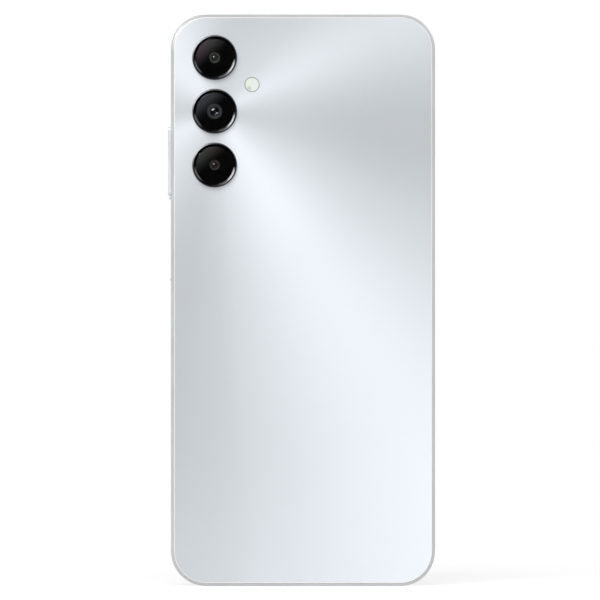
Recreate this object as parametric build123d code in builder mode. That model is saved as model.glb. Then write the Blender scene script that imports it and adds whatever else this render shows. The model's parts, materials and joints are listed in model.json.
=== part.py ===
"""A slab smartphone, taken apart into its separate pieces.

Millimetres.  +Z points from the charging port up to the earpiece, +Y out of the
screen, and +X to the right when the rear cover is looked at.  The origin lies on
the bottom edge, midway across the width and halfway through the depth.
"""

from build123d import *
import os

os.makedirs("parts", exist_ok=True)

# ---------------------------------------------------------------- driving sizes
WIDTH = 77.3
HEIGHT = 167.3
DEPTH = 8.8
CORNER = 10.3  # corner radius of the outline

REAR = -DEPTH / 2  # outer face of the rear cover
FRONT = DEPTH / 2  # outer face of the glass
FRAME_REAR = REAR + 0.1
FRAME_FRONT = FRONT - 0.3
FRAME_ROUND = 1.6  # rounding of the frame's two long edges
FIT = 0.1  # gap round a piece that sits in a pocket
FREE = 0.12  # gap round a piece that moves

# Rims and walls, as insets from the outline
REAR_RIM = 0.82
REAR_CORNER = CORNER - REAR_RIM
FRONT_RIM = 1.0
FRONT_CORNER = 9.4
DISPLAY_WALL = 2.2
WALL = 2.9
CAVITY_CORNER = CORNER - WALL

# Depth levels, from the glass to the rear cover
GLASS_BACK = FRONT - 0.7
GLASS_LEDGE = GLASS_BACK - 0.15
CELL_BACK = GLASS_BACK - 0.75
LIGHT_BACK = CELL_BACK - 0.75
PLATE_FRONT = 1.9
PLATE_REAR = 1.4
BOARD_FRONT = -0.2
BOARD_REAR = -1.0
SHIELD_REAR = -2.3
BRACKET_FRONT = -2.5
BRACKET_REAR = -3.2
COVER_FRONT = REAR + 1.0
COVER_LEDGE = COVER_FRONT + 0.15

SIDE = WIDTH / 2
MIDDLE = HEIGHT / 2
PORT_Y = -0.5  # depth of the line that the keys and ports sit on

# Rear cameras and flash
CAMERA_X = -SIDE + 12.78
CAMERA_TOP = HEIGHT - 12.75
CAMERA_PITCH = 15.7
CAMERA_Z = [CAMERA_TOP - i * CAMERA_PITCH for i in range(3)]
UPPER_Z, MAIN_Z, LOWER_Z = CAMERA_Z
RING_RADIUS = 6.58
RING_STUB = 5.95
RING_STUB_DEPTH = 1.2
RING_HEIGHT = 1.25
RING_ROUND = 0.52  # rounding of the rim's outer edge
WINDOW_RADIUS = 5.5
WINDOW_SEAT = 4.9
WINDOW_LOW = 0.35  # the window's inner face, above the rear cover
WINDOW_THICK = 0.5
WINDOW_TOP = WINDOW_LOW + WINDOW_THICK
FLASH_X = CAMERA_X + 10.95
FLASH_Z = (UPPER_Z + MAIN_Z) / 2
FLASH_RADIUS = 2.12
FLASH_HOLE = FLASH_RADIUS + 0.05

# Keys on the left-hand flank
KEY_WIDTH = 2.4
KEY_PROUD = 0.85
KEY_POCKET = SIDE - 1.75  # inner side of the wall that is left round a key
VOLUME_Z = 124.3
VOLUME_LENGTH = 20.4
POWER_Z = 98.6
POWER_LENGTH = 15.4
POWER_DISH = 0.35  # the power key lies in a shallow dish
PIP_Z = POWER_Z - POWER_LENGTH / 2 - 1.2  # pip that marks the dish's lower end
RIDGE_Z = VOLUME_Z - VOLUME_LENGTH / 2 - 0.5
RIDGE_HEIGHT, RIDGE_PROUD = 0.6, 0.6
KEY_PIVOT_X = -36.4
KEY_PIVOT_RADIUS = 0.3
KEY_FLANGE = 0.5
NUB_SPACING = 5.5

# SIM tray on the right-hand flank
SIM_Y = 0.5
TRAY_THICK = 1.0
TRAY_LOW, TRAY_HIGH = 130.6, 148.0
TRAY_END = 3.9
TRAY_FACE_Z = 140.9
TRAY_FACE_LENGTH = 21.4
TRAY_FACE_WIDTH = 2.3
TRAY_FACE_DEPTH = 1.3
EJECT_Z = 150.0
LEVER_X, LEVER_Z = 1.0, 144.6

# Bottom edge
JACK_X = 17.5
JACK_RADIUS = 1.8
JACK_NOSE = 2.35
JACK_DEPTH = 14.0
USB_WIDTH, USB_THICK, USB_LENGTH = 8.94, 3.26, 7.35
USB_LOW = 0.6
MICROPHONE_X = 8.5
SPEAKER_X = -19.5
SPEAKER_HOLES = 6
SPEAKER_PITCH = 2.3
MOTOR_X, MOTOR_Z = 27.8, 17.0
MOTOR_RADIUS = 4.5

# Front side
FRONT_CAMERA_Z = HEIGHT - 8.1
FRONT_CAMERA_RADIUS = 2.8
NOTCH_WIDTH = 6.6
EARPIECE_X, EARPIECE_Z = 12.0, 159.3
EARPIECE_SLOT = 12.0

# Screws: M1.4, in threaded posts on the mid plate
SCREW_RADIUS = 0.7
HEAD_RADIUS = 1.15
HEAD_HEIGHT = 0.5
POST_RADIUS = 1.6
BRACKET_SCREWS = [
    (-31.8, 160.4), (31.8, 160.4), (CAMERA_X, 146.9), (-8, 126.5), (31.8, 126.5), (-8, 157.5),
]
SPEAKER_SCREWS = [(-31.0, 7.6), (-31.0, 22.0), (-10.5, 22.0)]
BOARD_SCREWS = [(10.5, 20.0), (31.0, 7.6)]
BATTERY = ((-31.0, 33.0), (-3.1, 1.3), (27.5, 114.0))


# ---------------------------------------------------------------- shared helpers
def facing(y):
    """Sketch plane across the depth: local x is X, local y is Z, extruding to the rear."""
    return Plane(origin=(0, y, 0), x_dir=(1, 0, 0), z_dir=(0, -1, 0))


def across(x):
    """Sketch plane across the width: local x is Y, local y is Z, extruding towards +X."""
    return Plane(origin=(x, 0, 0), x_dir=(0, 1, 0), z_dir=(1, 0, 0))


def slab(y_front, y_rear, inset, radius, mode=Mode.ADD):
    """A slab that follows the phone's outline, inset from it, between two depths."""
    with BuildSketch(facing(y_front)) as outline:
        with Locations((0, MIDDLE)):
            RectangleRounded(WIDTH - 2 * inset, HEIGHT - 2 * inset, radius)
    extrude(outline.sketch, amount=y_front - y_rear, mode=mode)


def block(xs, ys, zs, mode=Mode.ADD):
    """A box between the low and high ends given for each axis."""
    with Locations(tuple(sum(pair) / 2 for pair in (xs, ys, zs))):
        Box(xs[1] - xs[0], ys[1] - ys[0], zs[1] - zs[0], mode=mode)


def disc(x, z, y_front, y_rear, radius, mode=Mode.ADD):
    """A cylinder along the depth, between two depths."""
    with Locations(Location((x, (y_front + y_rear) / 2, z), (90, 0, 0))):
        Cylinder(radius, y_front - y_rear, mode=mode)


def slot_across(x_low, x_high, y, z, length, width, mode=Mode.ADD):
    """A round-ended bar, long in Z, between two places across the width."""
    with BuildSketch(across(x_low)) as profile:
        with Locations((y, z)):
            SlotOverall(length, width, rotation=90)
    extrude(profile.sketch, amount=x_high - x_low, mode=mode)


def cavity_piece(y_front, y_rear, xs, zs, gap=FIT):
    """A flat piece that fills the frame's cavity between two heights, corners and all."""
    inset = WALL + gap
    with BuildSketch(facing(y_front)) as profile:
        with Locations((0, MIDDLE)):
            RectangleRounded(WIDTH - 2 * inset, HEIGHT - 2 * inset, CAVITY_CORNER - gap)
        with Locations((sum(xs) / 2, sum(zs) / 2)):
            Rectangle(xs[1] - xs[0], zs[1] - zs[0], mode=Mode.INTERSECT)
    extrude(profile.sketch, amount=y_front - y_rear)


def camera_axis(z):
    """Plane on the rear cover's face at a camera: local x is the radius, local y is height."""
    return Plane(origin=(CAMERA_X, REAR, z), x_dir=(1, 0, 0), z_dir=(0, 0, 1))


def write(piece, name):
    """Labels a finished piece and writes its STEP file."""
    piece.part.label = name
    export_step(piece.part, f"parts/{name}.step")


# ---------------------------------------------------------------- housing
with BuildPart() as side_frame:
    slab(FRAME_FRONT, FRAME_REAR, 0, CORNER)
    rims = side_frame.edges().group_by(Axis.Y)
    fillet(rims[0] + rims[-1], FRAME_ROUND)
    # Seats for the glass and the rear cover, then the two cavities behind them
    slab(FRAME_FRONT + 1, GLASS_LEDGE, FRONT_RIM, FRONT_CORNER, mode=Mode.SUBTRACT)
    slab(GLASS_LEDGE, PLATE_REAR, DISPLAY_WALL, CORNER - DISPLAY_WALL, mode=Mode.SUBTRACT)
    slab(PLATE_REAR, COVER_LEDGE, WALL, CAVITY_CORNER, mode=Mode.SUBTRACT)
    slab(COVER_LEDGE, FRAME_REAR - 1, REAR_RIM, REAR_CORNER, mode=Mode.SUBTRACT)
    # Volume key: through slot, and the pocket its flange moves in
    slot_across(-SIDE - 1, -KEY_POCKET, PORT_Y, VOLUME_Z, VOLUME_LENGTH + 2 * FREE, KEY_WIDTH + 2 * FREE,
                mode=Mode.SUBTRACT)
    block((-KEY_POCKET, -SIDE + WALL), (PORT_Y - 1.85, PORT_Y + 1.85), (VOLUME_Z - 11.7, VOLUME_Z + 11.7),
          mode=Mode.SUBTRACT)
    # Power key: shallow dish, through slot and pocket, with a small pip below the dish
    slot_across(-SIDE - 1, -SIDE + POWER_DISH, PORT_Y, POWER_Z, POWER_LENGTH + 1.2, KEY_WIDTH + 1.2,
                mode=Mode.SUBTRACT)
    slot_across(-SIDE - 1, -KEY_POCKET, PORT_Y, POWER_Z, POWER_LENGTH + 2 * FREE, KEY_WIDTH + 2 * FREE,
                mode=Mode.SUBTRACT)
    block((-KEY_POCKET, -SIDE + WALL), (PORT_Y - 1.85, PORT_Y + 1.85), (POWER_Z - 9.2, POWER_Z + 9.2),
          mode=Mode.SUBTRACT)
    with Locations((-SIDE + 0.1, PORT_Y, PIP_Z)):
        Sphere(0.4)
    # Low ridge under the volume key, where the slot's lip is thickened
    with BuildSketch(Plane(origin=(-SIDE + 0.5, PORT_Y, RIDGE_Z), x_dir=(0, 1, 0), z_dir=(-1, 0, 0))):
        SlotOverall(KEY_WIDTH, RIDGE_HEIGHT)
    extrude(amount=RIDGE_PROUD + 0.5)
    # SIM tray: seat for the tray's face, slot for its body, hole for the ejector rod
    slot_across(SIDE - TRAY_FACE_DEPTH - 0.05, SIDE + 1, SIM_Y, TRAY_FACE_Z, TRAY_FACE_LENGTH + 2 * FIT,
                TRAY_FACE_WIDTH + 2 * FIT, mode=Mode.SUBTRACT)
    block((SIDE - WALL - 1, SIDE), (SIM_Y - 0.65, SIM_Y + 0.65), (TRAY_LOW - 0.2, TRAY_HIGH + 0.2),
          mode=Mode.SUBTRACT)
    with Locations(Location((SIDE - WALL / 2, SIM_Y, EJECT_Z), (0, 90, 0))):
        Cylinder(0.5, WALL + 1, mode=Mode.SUBTRACT)
    # Bottom edge: charging port, headphone jack, microphone and loudspeaker holes
    with BuildSketch(Plane.XY.offset(-1)):
        with Locations((0, PORT_Y)):
            SlotOverall(USB_WIDTH + 0.2, USB_THICK + 0.2)
        with Locations((JACK_X, PORT_Y)):
            Circle(JACK_NOSE + 0.05)
        with Locations((MICROPHONE_X, PORT_Y)):
            Circle(0.5)
        with Locations((SPEAKER_X, PORT_Y)):
            with GridLocations(SPEAKER_PITCH, 1, SPEAKER_HOLES, 1):
                Circle(0.65)
    extrude(amount=WALL + 1.5, mode=Mode.SUBTRACT)
    # Top edge: second microphone
    with Locations((-16, PORT_Y, HEIGHT - WALL / 2)):
        Cylinder(0.5, WALL + 1, mode=Mode.SUBTRACT)
    # Sound way for the earpiece, in the ledge below the glass
    block((-EARPIECE_SLOT / 2, EARPIECE_SLOT / 2), (PLATE_FRONT, GLASS_LEDGE + 0.1),
          (HEIGHT - DISPLAY_WALL - 0.1, HEIGHT - FRONT_RIM - 0.2), mode=Mode.SUBTRACT)
write(side_frame, "side_frame")

with BuildPart() as mid_plate:
    slab(PLATE_FRONT, PLATE_REAR, DISPLAY_WALL + FIT, CORNER - DISPLAY_WALL - FIT)
    disc(0, FRONT_CAMERA_Z, PLATE_FRONT, PLATE_REAR, FRONT_CAMERA_RADIUS + 0.3, mode=Mode.SUBTRACT)
    block((JACK_X - 3.4, JACK_X + 3.4), (PLATE_REAR, PLATE_FRONT), (2.0, 17.0), mode=Mode.SUBTRACT)
    block((-8.0, 8.0), (PLATE_REAR, PLATE_FRONT), (11.6, 13.6), mode=Mode.SUBTRACT)
    for x, z in BRACKET_SCREWS + BOARD_SCREWS + SPEAKER_SCREWS:
        disc(x, z, PLATE_REAR, BOARD_FRONT, POST_RADIUS)
        disc(x, z, PLATE_REAR, BOARD_FRONT, SCREW_RADIUS + 0.02, mode=Mode.SUBTRACT)
write(mid_plate, "mid_plate")

with BuildPart() as rear_cover:
    slab(COVER_FRONT, REAR, REAR_RIM + 0.06, REAR_CORNER - 0.06)
    fillet(rear_cover.edges().group_by(Axis.Y)[0], 0.3)
    for z in CAMERA_Z:
        disc(CAMERA_X, z, COVER_FRONT, REAR, RING_STUB + 0.05, mode=Mode.SUBTRACT)
    disc(FLASH_X, FLASH_Z, COVER_FRONT, REAR, FLASH_HOLE, mode=Mode.SUBTRACT)
    round_edges = rear_cover.edges().filter_by(GeomType.CIRCLE)
    flash_edges = round_edges.filter_by(lambda edge: abs(edge.radius - FLASH_HOLE) < 0.01)
    chamfer(flash_edges.group_by(Axis.Y)[0], 0.15)
write(rear_cover, "rear_cover")

with BuildPart() as rear_cover_adhesive:
    slab(COVER_LEDGE, COVER_FRONT, REAR_RIM + 0.25, REAR_CORNER - 0.25)
    slab(COVER_LEDGE, COVER_FRONT, WALL - 0.15, CAVITY_CORNER + 0.15, mode=Mode.SUBTRACT)
write(rear_cover_adhesive, "rear_cover_adhesive")


# ---------------------------------------------------------------- camera rings and windows
def camera_ring(z):
    """Turned ring: a stub through the rear cover, a broad rounded rim and a bevel to the window."""
    shoulder = RING_HEIGHT - RING_ROUND
    crest = RING_RADIUS - RING_ROUND
    with BuildPart() as ring:
        with BuildSketch(camera_axis(z)):
            with BuildLine():
                Polyline(
                    (crest, -RING_HEIGHT), (WINDOW_RADIUS + FIT / 2, 0.05 - WINDOW_TOP),
                    (WINDOW_RADIUS + FIT / 2, -WINDOW_LOW), (WINDOW_SEAT, -WINDOW_LOW),
                    (WINDOW_SEAT, RING_STUB_DEPTH), (RING_STUB, RING_STUB_DEPTH), (RING_STUB, 0),
                    (RING_RADIUS, 0), (RING_RADIUS, -shoulder),
                )
                RadiusArc((RING_RADIUS, -shoulder), (crest, -RING_HEIGHT), RING_ROUND)
            make_face()
        revolve(axis=Axis((CAMERA_X, REAR, z), (0, 1, 0)))
    return ring


def camera_window(z):
    """Round glass with a softened outer edge, seated in its ring."""
    with BuildPart() as window:
        disc(CAMERA_X, z, REAR - WINDOW_LOW, REAR - WINDOW_LOW - WINDOW_THICK, WINDOW_RADIUS)
        fillet(window.edges().group_by(Axis.Y)[0], 0.12)
    return window


for place, z in zip(("upper", "main", "lower"), CAMERA_Z):
    write(camera_ring(z), f"camera_ring_{place}")
    write(camera_window(z), f"camera_window_{place}")


# ---------------------------------------------------------------- camera modules and flash
ACTUATOR_HALF = 4.3
BARREL_RADIUS = 3.2
BARREL_TIP = REAR + 0.15
LENS_RADIUS = 1.55
SMALL_HALF = 3.3
SMALL_BARREL = 2.6
SMALL_LENS = 0.95


def lens_element(x, z, y_rear, radius, rise):
    """A lens element: a flat back and a domed outer face."""
    with BuildPart() as lens:
        with BuildSketch(Plane(origin=(x, y_rear, z), x_dir=(1, 0, 0), z_dir=(0, 0, 1))):
            with BuildLine():
                Polyline((0, -rise), (0, 0.5), (radius, 0.5), (radius, 0))
                RadiusArc((radius, 0), (0, -rise), (radius**2 + rise**2) / (2 * rise))
            make_face()
        revolve(axis=Axis((x, y_rear, z), (0, 1, 0)))
    return lens


with BuildPart() as main_camera_actuator:
    block((CAMERA_X - ACTUATOR_HALF, CAMERA_X + ACTUATOR_HALF), (-3.2, 0.7),
          (MAIN_Z - ACTUATOR_HALF, MAIN_Z + ACTUATOR_HALF))
    fillet(main_camera_actuator.edges().filter_by(Axis.Y), 0.8)
    disc(CAMERA_X, MAIN_Z, 0.7, -3.2, BARREL_RADIUS + FREE, mode=Mode.SUBTRACT)
write(main_camera_actuator, "main_camera_actuator")

with BuildPart() as main_camera_barrel:
    disc(CAMERA_X, MAIN_Z, 0.3, BARREL_TIP, BARREL_RADIUS)
    fillet(main_camera_barrel.edges().group_by(Axis.Y)[0], 0.25)
    disc(CAMERA_X, MAIN_Z, 0.3, BARREL_TIP, LENS_RADIUS - 0.2, mode=Mode.SUBTRACT)
    for step in range(4):  # stepped light baffle in front of the lens
        disc(CAMERA_X, MAIN_Z, BARREL_TIP + 0.75 - 0.18 * step, BARREL_TIP,
             LENS_RADIUS + 0.03 + 0.2 * step, mode=Mode.SUBTRACT)
write(main_camera_barrel, "main_camera_barrel")
write(lens_element(CAMERA_X, MAIN_Z, BARREL_TIP + 0.25, LENS_RADIUS, 0.12), "main_camera_lens")

with BuildPart() as main_camera_sensor:
    block((CAMERA_X - ACTUATOR_HALF, CAMERA_X + ACTUATOR_HALF), (0.75, 1.3),
          (MAIN_Z - ACTUATOR_HALF, MAIN_Z + ACTUATOR_HALF))
    block((CAMERA_X - 2.6, CAMERA_X + 2.6), (0.45, 0.75), (MAIN_Z - 1.95, MAIN_Z + 1.95))
    block((CAMERA_X + ACTUATOR_HALF, CAMERA_X + 12.0), (1.1, 1.25), (MAIN_Z - 2.5, MAIN_Z + 2.5))
write(main_camera_sensor, "main_camera_sensor")


def small_camera(z):
    """A fixed-focus camera: a square base and a round barrel with a stepped mouth."""
    with BuildPart() as camera:
        block((CAMERA_X - SMALL_HALF, CAMERA_X + SMALL_HALF), (-2.2, 0.6), (z - SMALL_HALF, z + SMALL_HALF))
        fillet(camera.edges().filter_by(Axis.Y), 0.5)
        disc(CAMERA_X, z, -2.2, BARREL_TIP, SMALL_BARREL)
        for step in range(4):
            disc(CAMERA_X, z, BARREL_TIP + 0.75 - 0.18 * step, BARREL_TIP, SMALL_LENS + 0.03 + 0.2 * step,
                 mode=Mode.SUBTRACT)
    return camera


for name, z in (("macro", UPPER_Z), ("depth", LOWER_Z)):
    write(small_camera(z), f"{name}_camera_module")
    write(lens_element(CAMERA_X, z, BARREL_TIP + 0.25, SMALL_LENS, 0.1), f"{name}_camera_lens")

with BuildPart() as flash_lens:
    disc(FLASH_X, FLASH_Z, COVER_FRONT, REAR + 0.02, FLASH_RADIUS)
    fillet(flash_lens.edges().group_by(Axis.Y)[0], 0.15)
    disc(FLASH_X, FLASH_Z, COVER_FRONT + 0.4, COVER_FRONT, FLASH_RADIUS + 0.5)
write(flash_lens, "flash_lens")

with BuildPart() as flash_led:
    block((FLASH_X - 1.0, FLASH_X + 1.0), (BOARD_REAR - 0.7, BOARD_REAR), (FLASH_Z - 1.0, FLASH_Z + 1.0))
    chamfer(flash_led.edges().group_by(Axis.Y)[0], 0.2)
write(flash_led, "flash_led")

with BuildPart() as front_camera_module:
    disc(0, FRONT_CAMERA_Z, GLASS_BACK - 0.05, 0.0, FRONT_CAMERA_RADIUS)
    for step in range(3):
        disc(0, FRONT_CAMERA_Z, GLASS_BACK - 0.05, GLASS_BACK - 0.65 + 0.18 * step, 1.0 + 0.25 * step,
             mode=Mode.SUBTRACT)
write(front_camera_module, "front_camera_module")

with BuildPart() as front_camera_lens:
    disc(0, FRONT_CAMERA_Z, GLASS_BACK - 0.3, GLASS_BACK - 0.65, 0.97)
    fillet(front_camera_lens.edges().group_by(Axis.Y)[-1], 0.3)
write(front_camera_lens, "front_camera_lens")

# ---------------------------------------------------------------- display
CELL_LOW, CELL_HIGH = 3.9, HEIGHT - 3.1
CELL_HALF = 35.8


def notched_panel(y_front, y_rear, low):
    """A display layer with rounded corners and the camera's U-shaped notch in its top edge."""
    with BuildPart() as panel:
        with BuildSketch(facing(y_front)):
            with Locations((0, (low + CELL_HIGH) / 2)):
                RectangleRounded(2 * CELL_HALF, CELL_HIGH - low, 6.5)
            with Locations((0, FRONT_CAMERA_Z)):
                Circle(NOTCH_WIDTH / 2, mode=Mode.SUBTRACT)
            with Locations((0, FRONT_CAMERA_Z + 10)):
                Rectangle(NOTCH_WIDTH, 20, mode=Mode.SUBTRACT)
        extrude(amount=y_front - y_rear)
    return panel


with BuildPart() as front_glass:
    slab(FRONT, GLASS_BACK, FRONT_RIM + FIT, FRONT_CORNER - FIT)
    fillet(front_glass.edges().group_by(Axis.Y)[-1], 0.45)
    block((-EARPIECE_SLOT / 2, EARPIECE_SLOT / 2), (GLASS_BACK, FRONT), (HEIGHT - FRONT_RIM - 0.8, HEIGHT),
          mode=Mode.SUBTRACT)
write(front_glass, "front_glass")
write(notched_panel(GLASS_BACK, CELL_BACK, CELL_LOW), "display_panel")
write(notched_panel(CELL_BACK, LIGHT_BACK, CELL_LOW + 2), "backlight_unit")

with BuildPart() as display_adhesive:
    slab(GLASS_BACK, GLASS_LEDGE, FRONT_RIM + 0.3, FRONT_CORNER - 0.3)
    slab(GLASS_BACK, GLASS_LEDGE, DISPLAY_WALL, CORNER - DISPLAY_WALL, mode=Mode.SUBTRACT)
    block((-EARPIECE_SLOT / 2, EARPIECE_SLOT / 2), (GLASS_LEDGE, GLASS_BACK), (HEIGHT - 3, HEIGHT),
          mode=Mode.SUBTRACT)
write(display_adhesive, "display_adhesive")

with BuildPart() as display_flex:
    # Runs behind the backlight, through the mid plate's slot, and on to the lower board
    block((-7.0, 7.0), (2.0, 2.12), (6.0, 13.2))
    block((-7.0, 7.0), (0.3, 2.12), (13.08, 13.2))
    block((-7.0, 7.0), (0.3, 0.42), (13.08, 18.5))
    block((-6.0, 6.0), (BOARD_FRONT, 0.3), (16.0, 18.5))
write(display_flex, "display_flex")

with BuildPart() as earpiece_mesh:
    block((-EARPIECE_SLOT / 2 + 0.1, EARPIECE_SLOT / 2 - 0.1), (GLASS_BACK + 0.05, GLASS_BACK + 0.35),
          (HEIGHT - FRONT_RIM - 0.75, HEIGHT - FRONT_RIM - 0.05))
write(earpiece_mesh, "earpiece_mesh")

# ---------------------------------------------------------------- earpiece
with BuildPart() as earpiece_case:
    block((EARPIECE_X - 6, EARPIECE_X + 6), (-0.9, 1.3), (EARPIECE_Z - 3, EARPIECE_Z + 3))
    fillet(earpiece_case.edges().filter_by(Axis.Y), 0.8)
    block((EARPIECE_X - 5.6, EARPIECE_X + 5.6), (-0.6, 1.0), (EARPIECE_Z - 2.6, EARPIECE_Z + 2.6),
          mode=Mode.SUBTRACT)
    block((EARPIECE_X - 4, EARPIECE_X + 4), (1.0, 1.3), (EARPIECE_Z - 0.8, EARPIECE_Z + 0.8),
          mode=Mode.SUBTRACT)
write(earpiece_case, "earpiece_case")

with BuildPart() as earpiece_diaphragm:
    block((EARPIECE_X - 5.4, EARPIECE_X + 5.4), (0.5, 0.62), (EARPIECE_Z - 2.4, EARPIECE_Z + 2.4))
    block((EARPIECE_X - 3, EARPIECE_X + 3), (-0.2, 0.5), (EARPIECE_Z - 1.4, EARPIECE_Z + 1.4))
    block((EARPIECE_X - 2.8, EARPIECE_X + 2.8), (-0.2, 0.5), (EARPIECE_Z - 1.2, EARPIECE_Z + 1.2),
          mode=Mode.SUBTRACT)
write(earpiece_diaphragm, "earpiece_diaphragm")

# ---------------------------------------------------------------- battery
with BuildPart() as battery_cell:
    block(*BATTERY)
    fillet(battery_cell.edges().filter_by(Axis.Y), 1.2)
    fillet(battery_cell.edges().group_by(Axis.Y)[0] + battery_cell.edges().group_by(Axis.Y)[-1], 0.6)
write(battery_cell, "battery_cell")

with BuildPart() as battery_board:
    block((-18.0, 14.0), (-1.6, -0.2), (114.1, 117.6))
    fillet(battery_board.edges().filter_by(Axis.Y), 0.4)
    block((-8.0, -2.0), (-1.6, -1.45), (117.6, 121.6))
write(battery_board, "battery_board")

# ---------------------------------------------------------------- main board
BOARD_LOW = 118.5
with BuildPart() as main_board:
    cavity_piece(BOARD_FRONT, BOARD_REAR, (-33.6, SIDE), (BOARD_LOW, HEIGHT), gap=0.4)
    for z, half in ((UPPER_Z, SMALL_HALF), (MAIN_Z, ACTUATOR_HALF), (LOWER_Z, SMALL_HALF)):
        cut = half + 0.25
        block((CAMERA_X - cut, CAMERA_X + cut), (BOARD_REAR, BOARD_FRONT), (z - cut, z + cut),
              mode=Mode.SUBTRACT)
    block((EARPIECE_X - 6.3, EARPIECE_X + 6.3), (BOARD_REAR, BOARD_FRONT),
          (EARPIECE_Z - 3.3, EARPIECE_Z + 3.3), mode=Mode.SUBTRACT)
    for x, z in BRACKET_SCREWS:
        disc(x, z, BOARD_FRONT, BOARD_REAR, SCREW_RADIUS + 0.15, mode=Mode.SUBTRACT)
write(main_board, "main_board")

CANS = [((-13.0, 6.0), (128.5, 145.0)), ((9.0, 29.0), (129.0, 153.0))]
with BuildPart() as shield_cans:
    for xs, zs in CANS:
        block(xs, (SHIELD_REAR, BOARD_REAR), zs)
        inner = [(low + 0.15, high - 0.15) for low, high in (xs, zs)]
        block(inner[0], (SHIELD_REAR + 0.15, BOARD_REAR), inner[1], mode=Mode.SUBTRACT)
write(shield_cans, "shield_cans")

# Parts soldered to the two boards: centre in X and Z, size in X and Z, and height
PROCESSOR = (-5.5, 138.5, 11.5, 10.5, 0.9)
MEMORY = (14.5, 146.0, 9.0, 11.0, 0.9)
RADIO = (22.5, 134.5, 8.0, 8.0, 0.9)
BATTERY_SOCKET = (-5.0, 120.5, 6.0, 2.0, 0.4)
CAMERA_SOCKETS = [(-16.5, 131.0, 6.0, 2.0, 0.4), (-16.5, 155.5, 6.0, 2.0, 0.4)]
MICROPHONES = [(MICROPHONE_X, 5.4, 3.5, 2.6, 1.0), (-16.0, 161.2, 3.5, 2.6, 1.0)]
# Rows of capacitors: centre of the group, columns and rows
CAPACITOR_GROUPS = [(-3.5, 150.0, 6, 3), (-1.0, 21.5, 5, 2)]
CAPACITOR = (1.0, 0.5, 0.5)
with BuildPart() as board_components:
    for x, z, wide, tall, high in [PROCESSOR, MEMORY, RADIO, BATTERY_SOCKET, *CAMERA_SOCKETS, *MICROPHONES]:
        block((x - wide / 2, x + wide / 2), (BOARD_REAR - high, BOARD_REAR), (z - tall / 2, z + tall / 2))
    for x, z, columns, rows in CAPACITOR_GROUPS:
        with Locations((x, BOARD_REAR - CAPACITOR[2] / 2, z)):
            with Locations(Plane.XZ):
                with GridLocations(2.2, 1.6, columns, rows):
                    Box(*CAPACITOR)
write(board_components, "board_components")

with BuildPart() as upper_bracket:
    cavity_piece(BRACKET_FRONT, BRACKET_REAR, (-34.8, 34.8), (124.5, HEIGHT), gap=0.5)
    for x, z in BRACKET_SCREWS:
        disc(x, z, BOARD_REAR, BRACKET_REAR, 2.0)
    for z, half in ((UPPER_Z, 3.9), (MAIN_Z, 4.7), (LOWER_Z, 3.9)):
        block((CAMERA_X - half, CAMERA_X + half), (BRACKET_REAR, BRACKET_FRONT), (z - half, z + half),
              mode=Mode.SUBTRACT)
    disc(FLASH_X, FLASH_Z, BRACKET_FRONT, BRACKET_REAR, FLASH_RADIUS + 0.7, mode=Mode.SUBTRACT)
    for x, z in BRACKET_SCREWS:
        disc(x, z, BOARD_REAR, BRACKET_REAR, SCREW_RADIUS + 0.1, mode=Mode.SUBTRACT)
        disc(x, z, BRACKET_FRONT + 0.1, BRACKET_REAR, HEAD_RADIUS + 0.15, mode=Mode.SUBTRACT)
write(upper_bracket, "upper_bracket")


def screws(places, head_front, shank):
    """Pan-head screws with a cross recess, all at the same depth."""
    with BuildPart() as group:
        for x, z in places:
            disc(x, z, head_front, head_front - HEAD_HEIGHT, HEAD_RADIUS)
            disc(x, z, head_front + shank, head_front, SCREW_RADIUS)
            recess = (head_front - HEAD_HEIGHT, head_front - HEAD_HEIGHT + 0.3)
            block((x - 0.65, x + 0.65), recess, (z - 0.14, z + 0.14), mode=Mode.SUBTRACT)
            block((x - 0.14, x + 0.14), recess, (z - 0.65, z + 0.65), mode=Mode.SUBTRACT)
    return group


write(screws(BRACKET_SCREWS, BRACKET_FRONT + 0.1, 3.2), "bracket_screws")
write(screws([*SPEAKER_SCREWS, *BOARD_SCREWS], BOARD_REAR, 2.3), "lower_screws")

# ---------------------------------------------------------------- lower board and ports
with BuildPart() as lower_board:
    cavity_piece(BOARD_FRONT, BOARD_REAR, (-7.4, SIDE), (0, 25.2), gap=0.4)
    block((-4.8, 4.8), (BOARD_REAR, BOARD_FRONT), (0, 8.6), mode=Mode.SUBTRACT)
    block((JACK_X - 3.4, JACK_X + 3.4), (BOARD_REAR, BOARD_FRONT), (0, 15.4), mode=Mode.SUBTRACT)
    disc(MOTOR_X, MOTOR_Z, BOARD_FRONT, BOARD_REAR, MOTOR_RADIUS + 0.3, mode=Mode.SUBTRACT)
    for x, z in BOARD_SCREWS:
        disc(x, z, BOARD_FRONT, BOARD_REAR, SCREW_RADIUS + 0.15, mode=Mode.SUBTRACT)
write(lower_board, "lower_board")

with BuildPart() as usb_shell:
    with BuildSketch(Plane.XY.offset(USB_LOW)):
        with Locations((0, PORT_Y)):
            SlotOverall(USB_WIDTH, USB_THICK)
            SlotOverall(USB_WIDTH - 0.6, USB_THICK - 0.6, mode=Mode.SUBTRACT)
    extrude(amount=USB_LENGTH)
write(usb_shell, "usb_shell")

with BuildPart() as usb_tongue:
    block((-3.35, 3.35), (PORT_Y - 0.35, PORT_Y + 0.35), (USB_LOW + 1.0, USB_LOW + 6.3))
    fillet(usb_tongue.edges().group_by(Axis.Z)[0].filter_by(Axis.X), 0.2)
    with BuildSketch(Plane.XY.offset(USB_LOW + 6.2)):
        with Locations((0, PORT_Y)):
            SlotOverall(USB_WIDTH - 0.64, USB_THICK - 0.64)
    extrude(amount=1.1)
write(usb_tongue, "usb_tongue")

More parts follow.
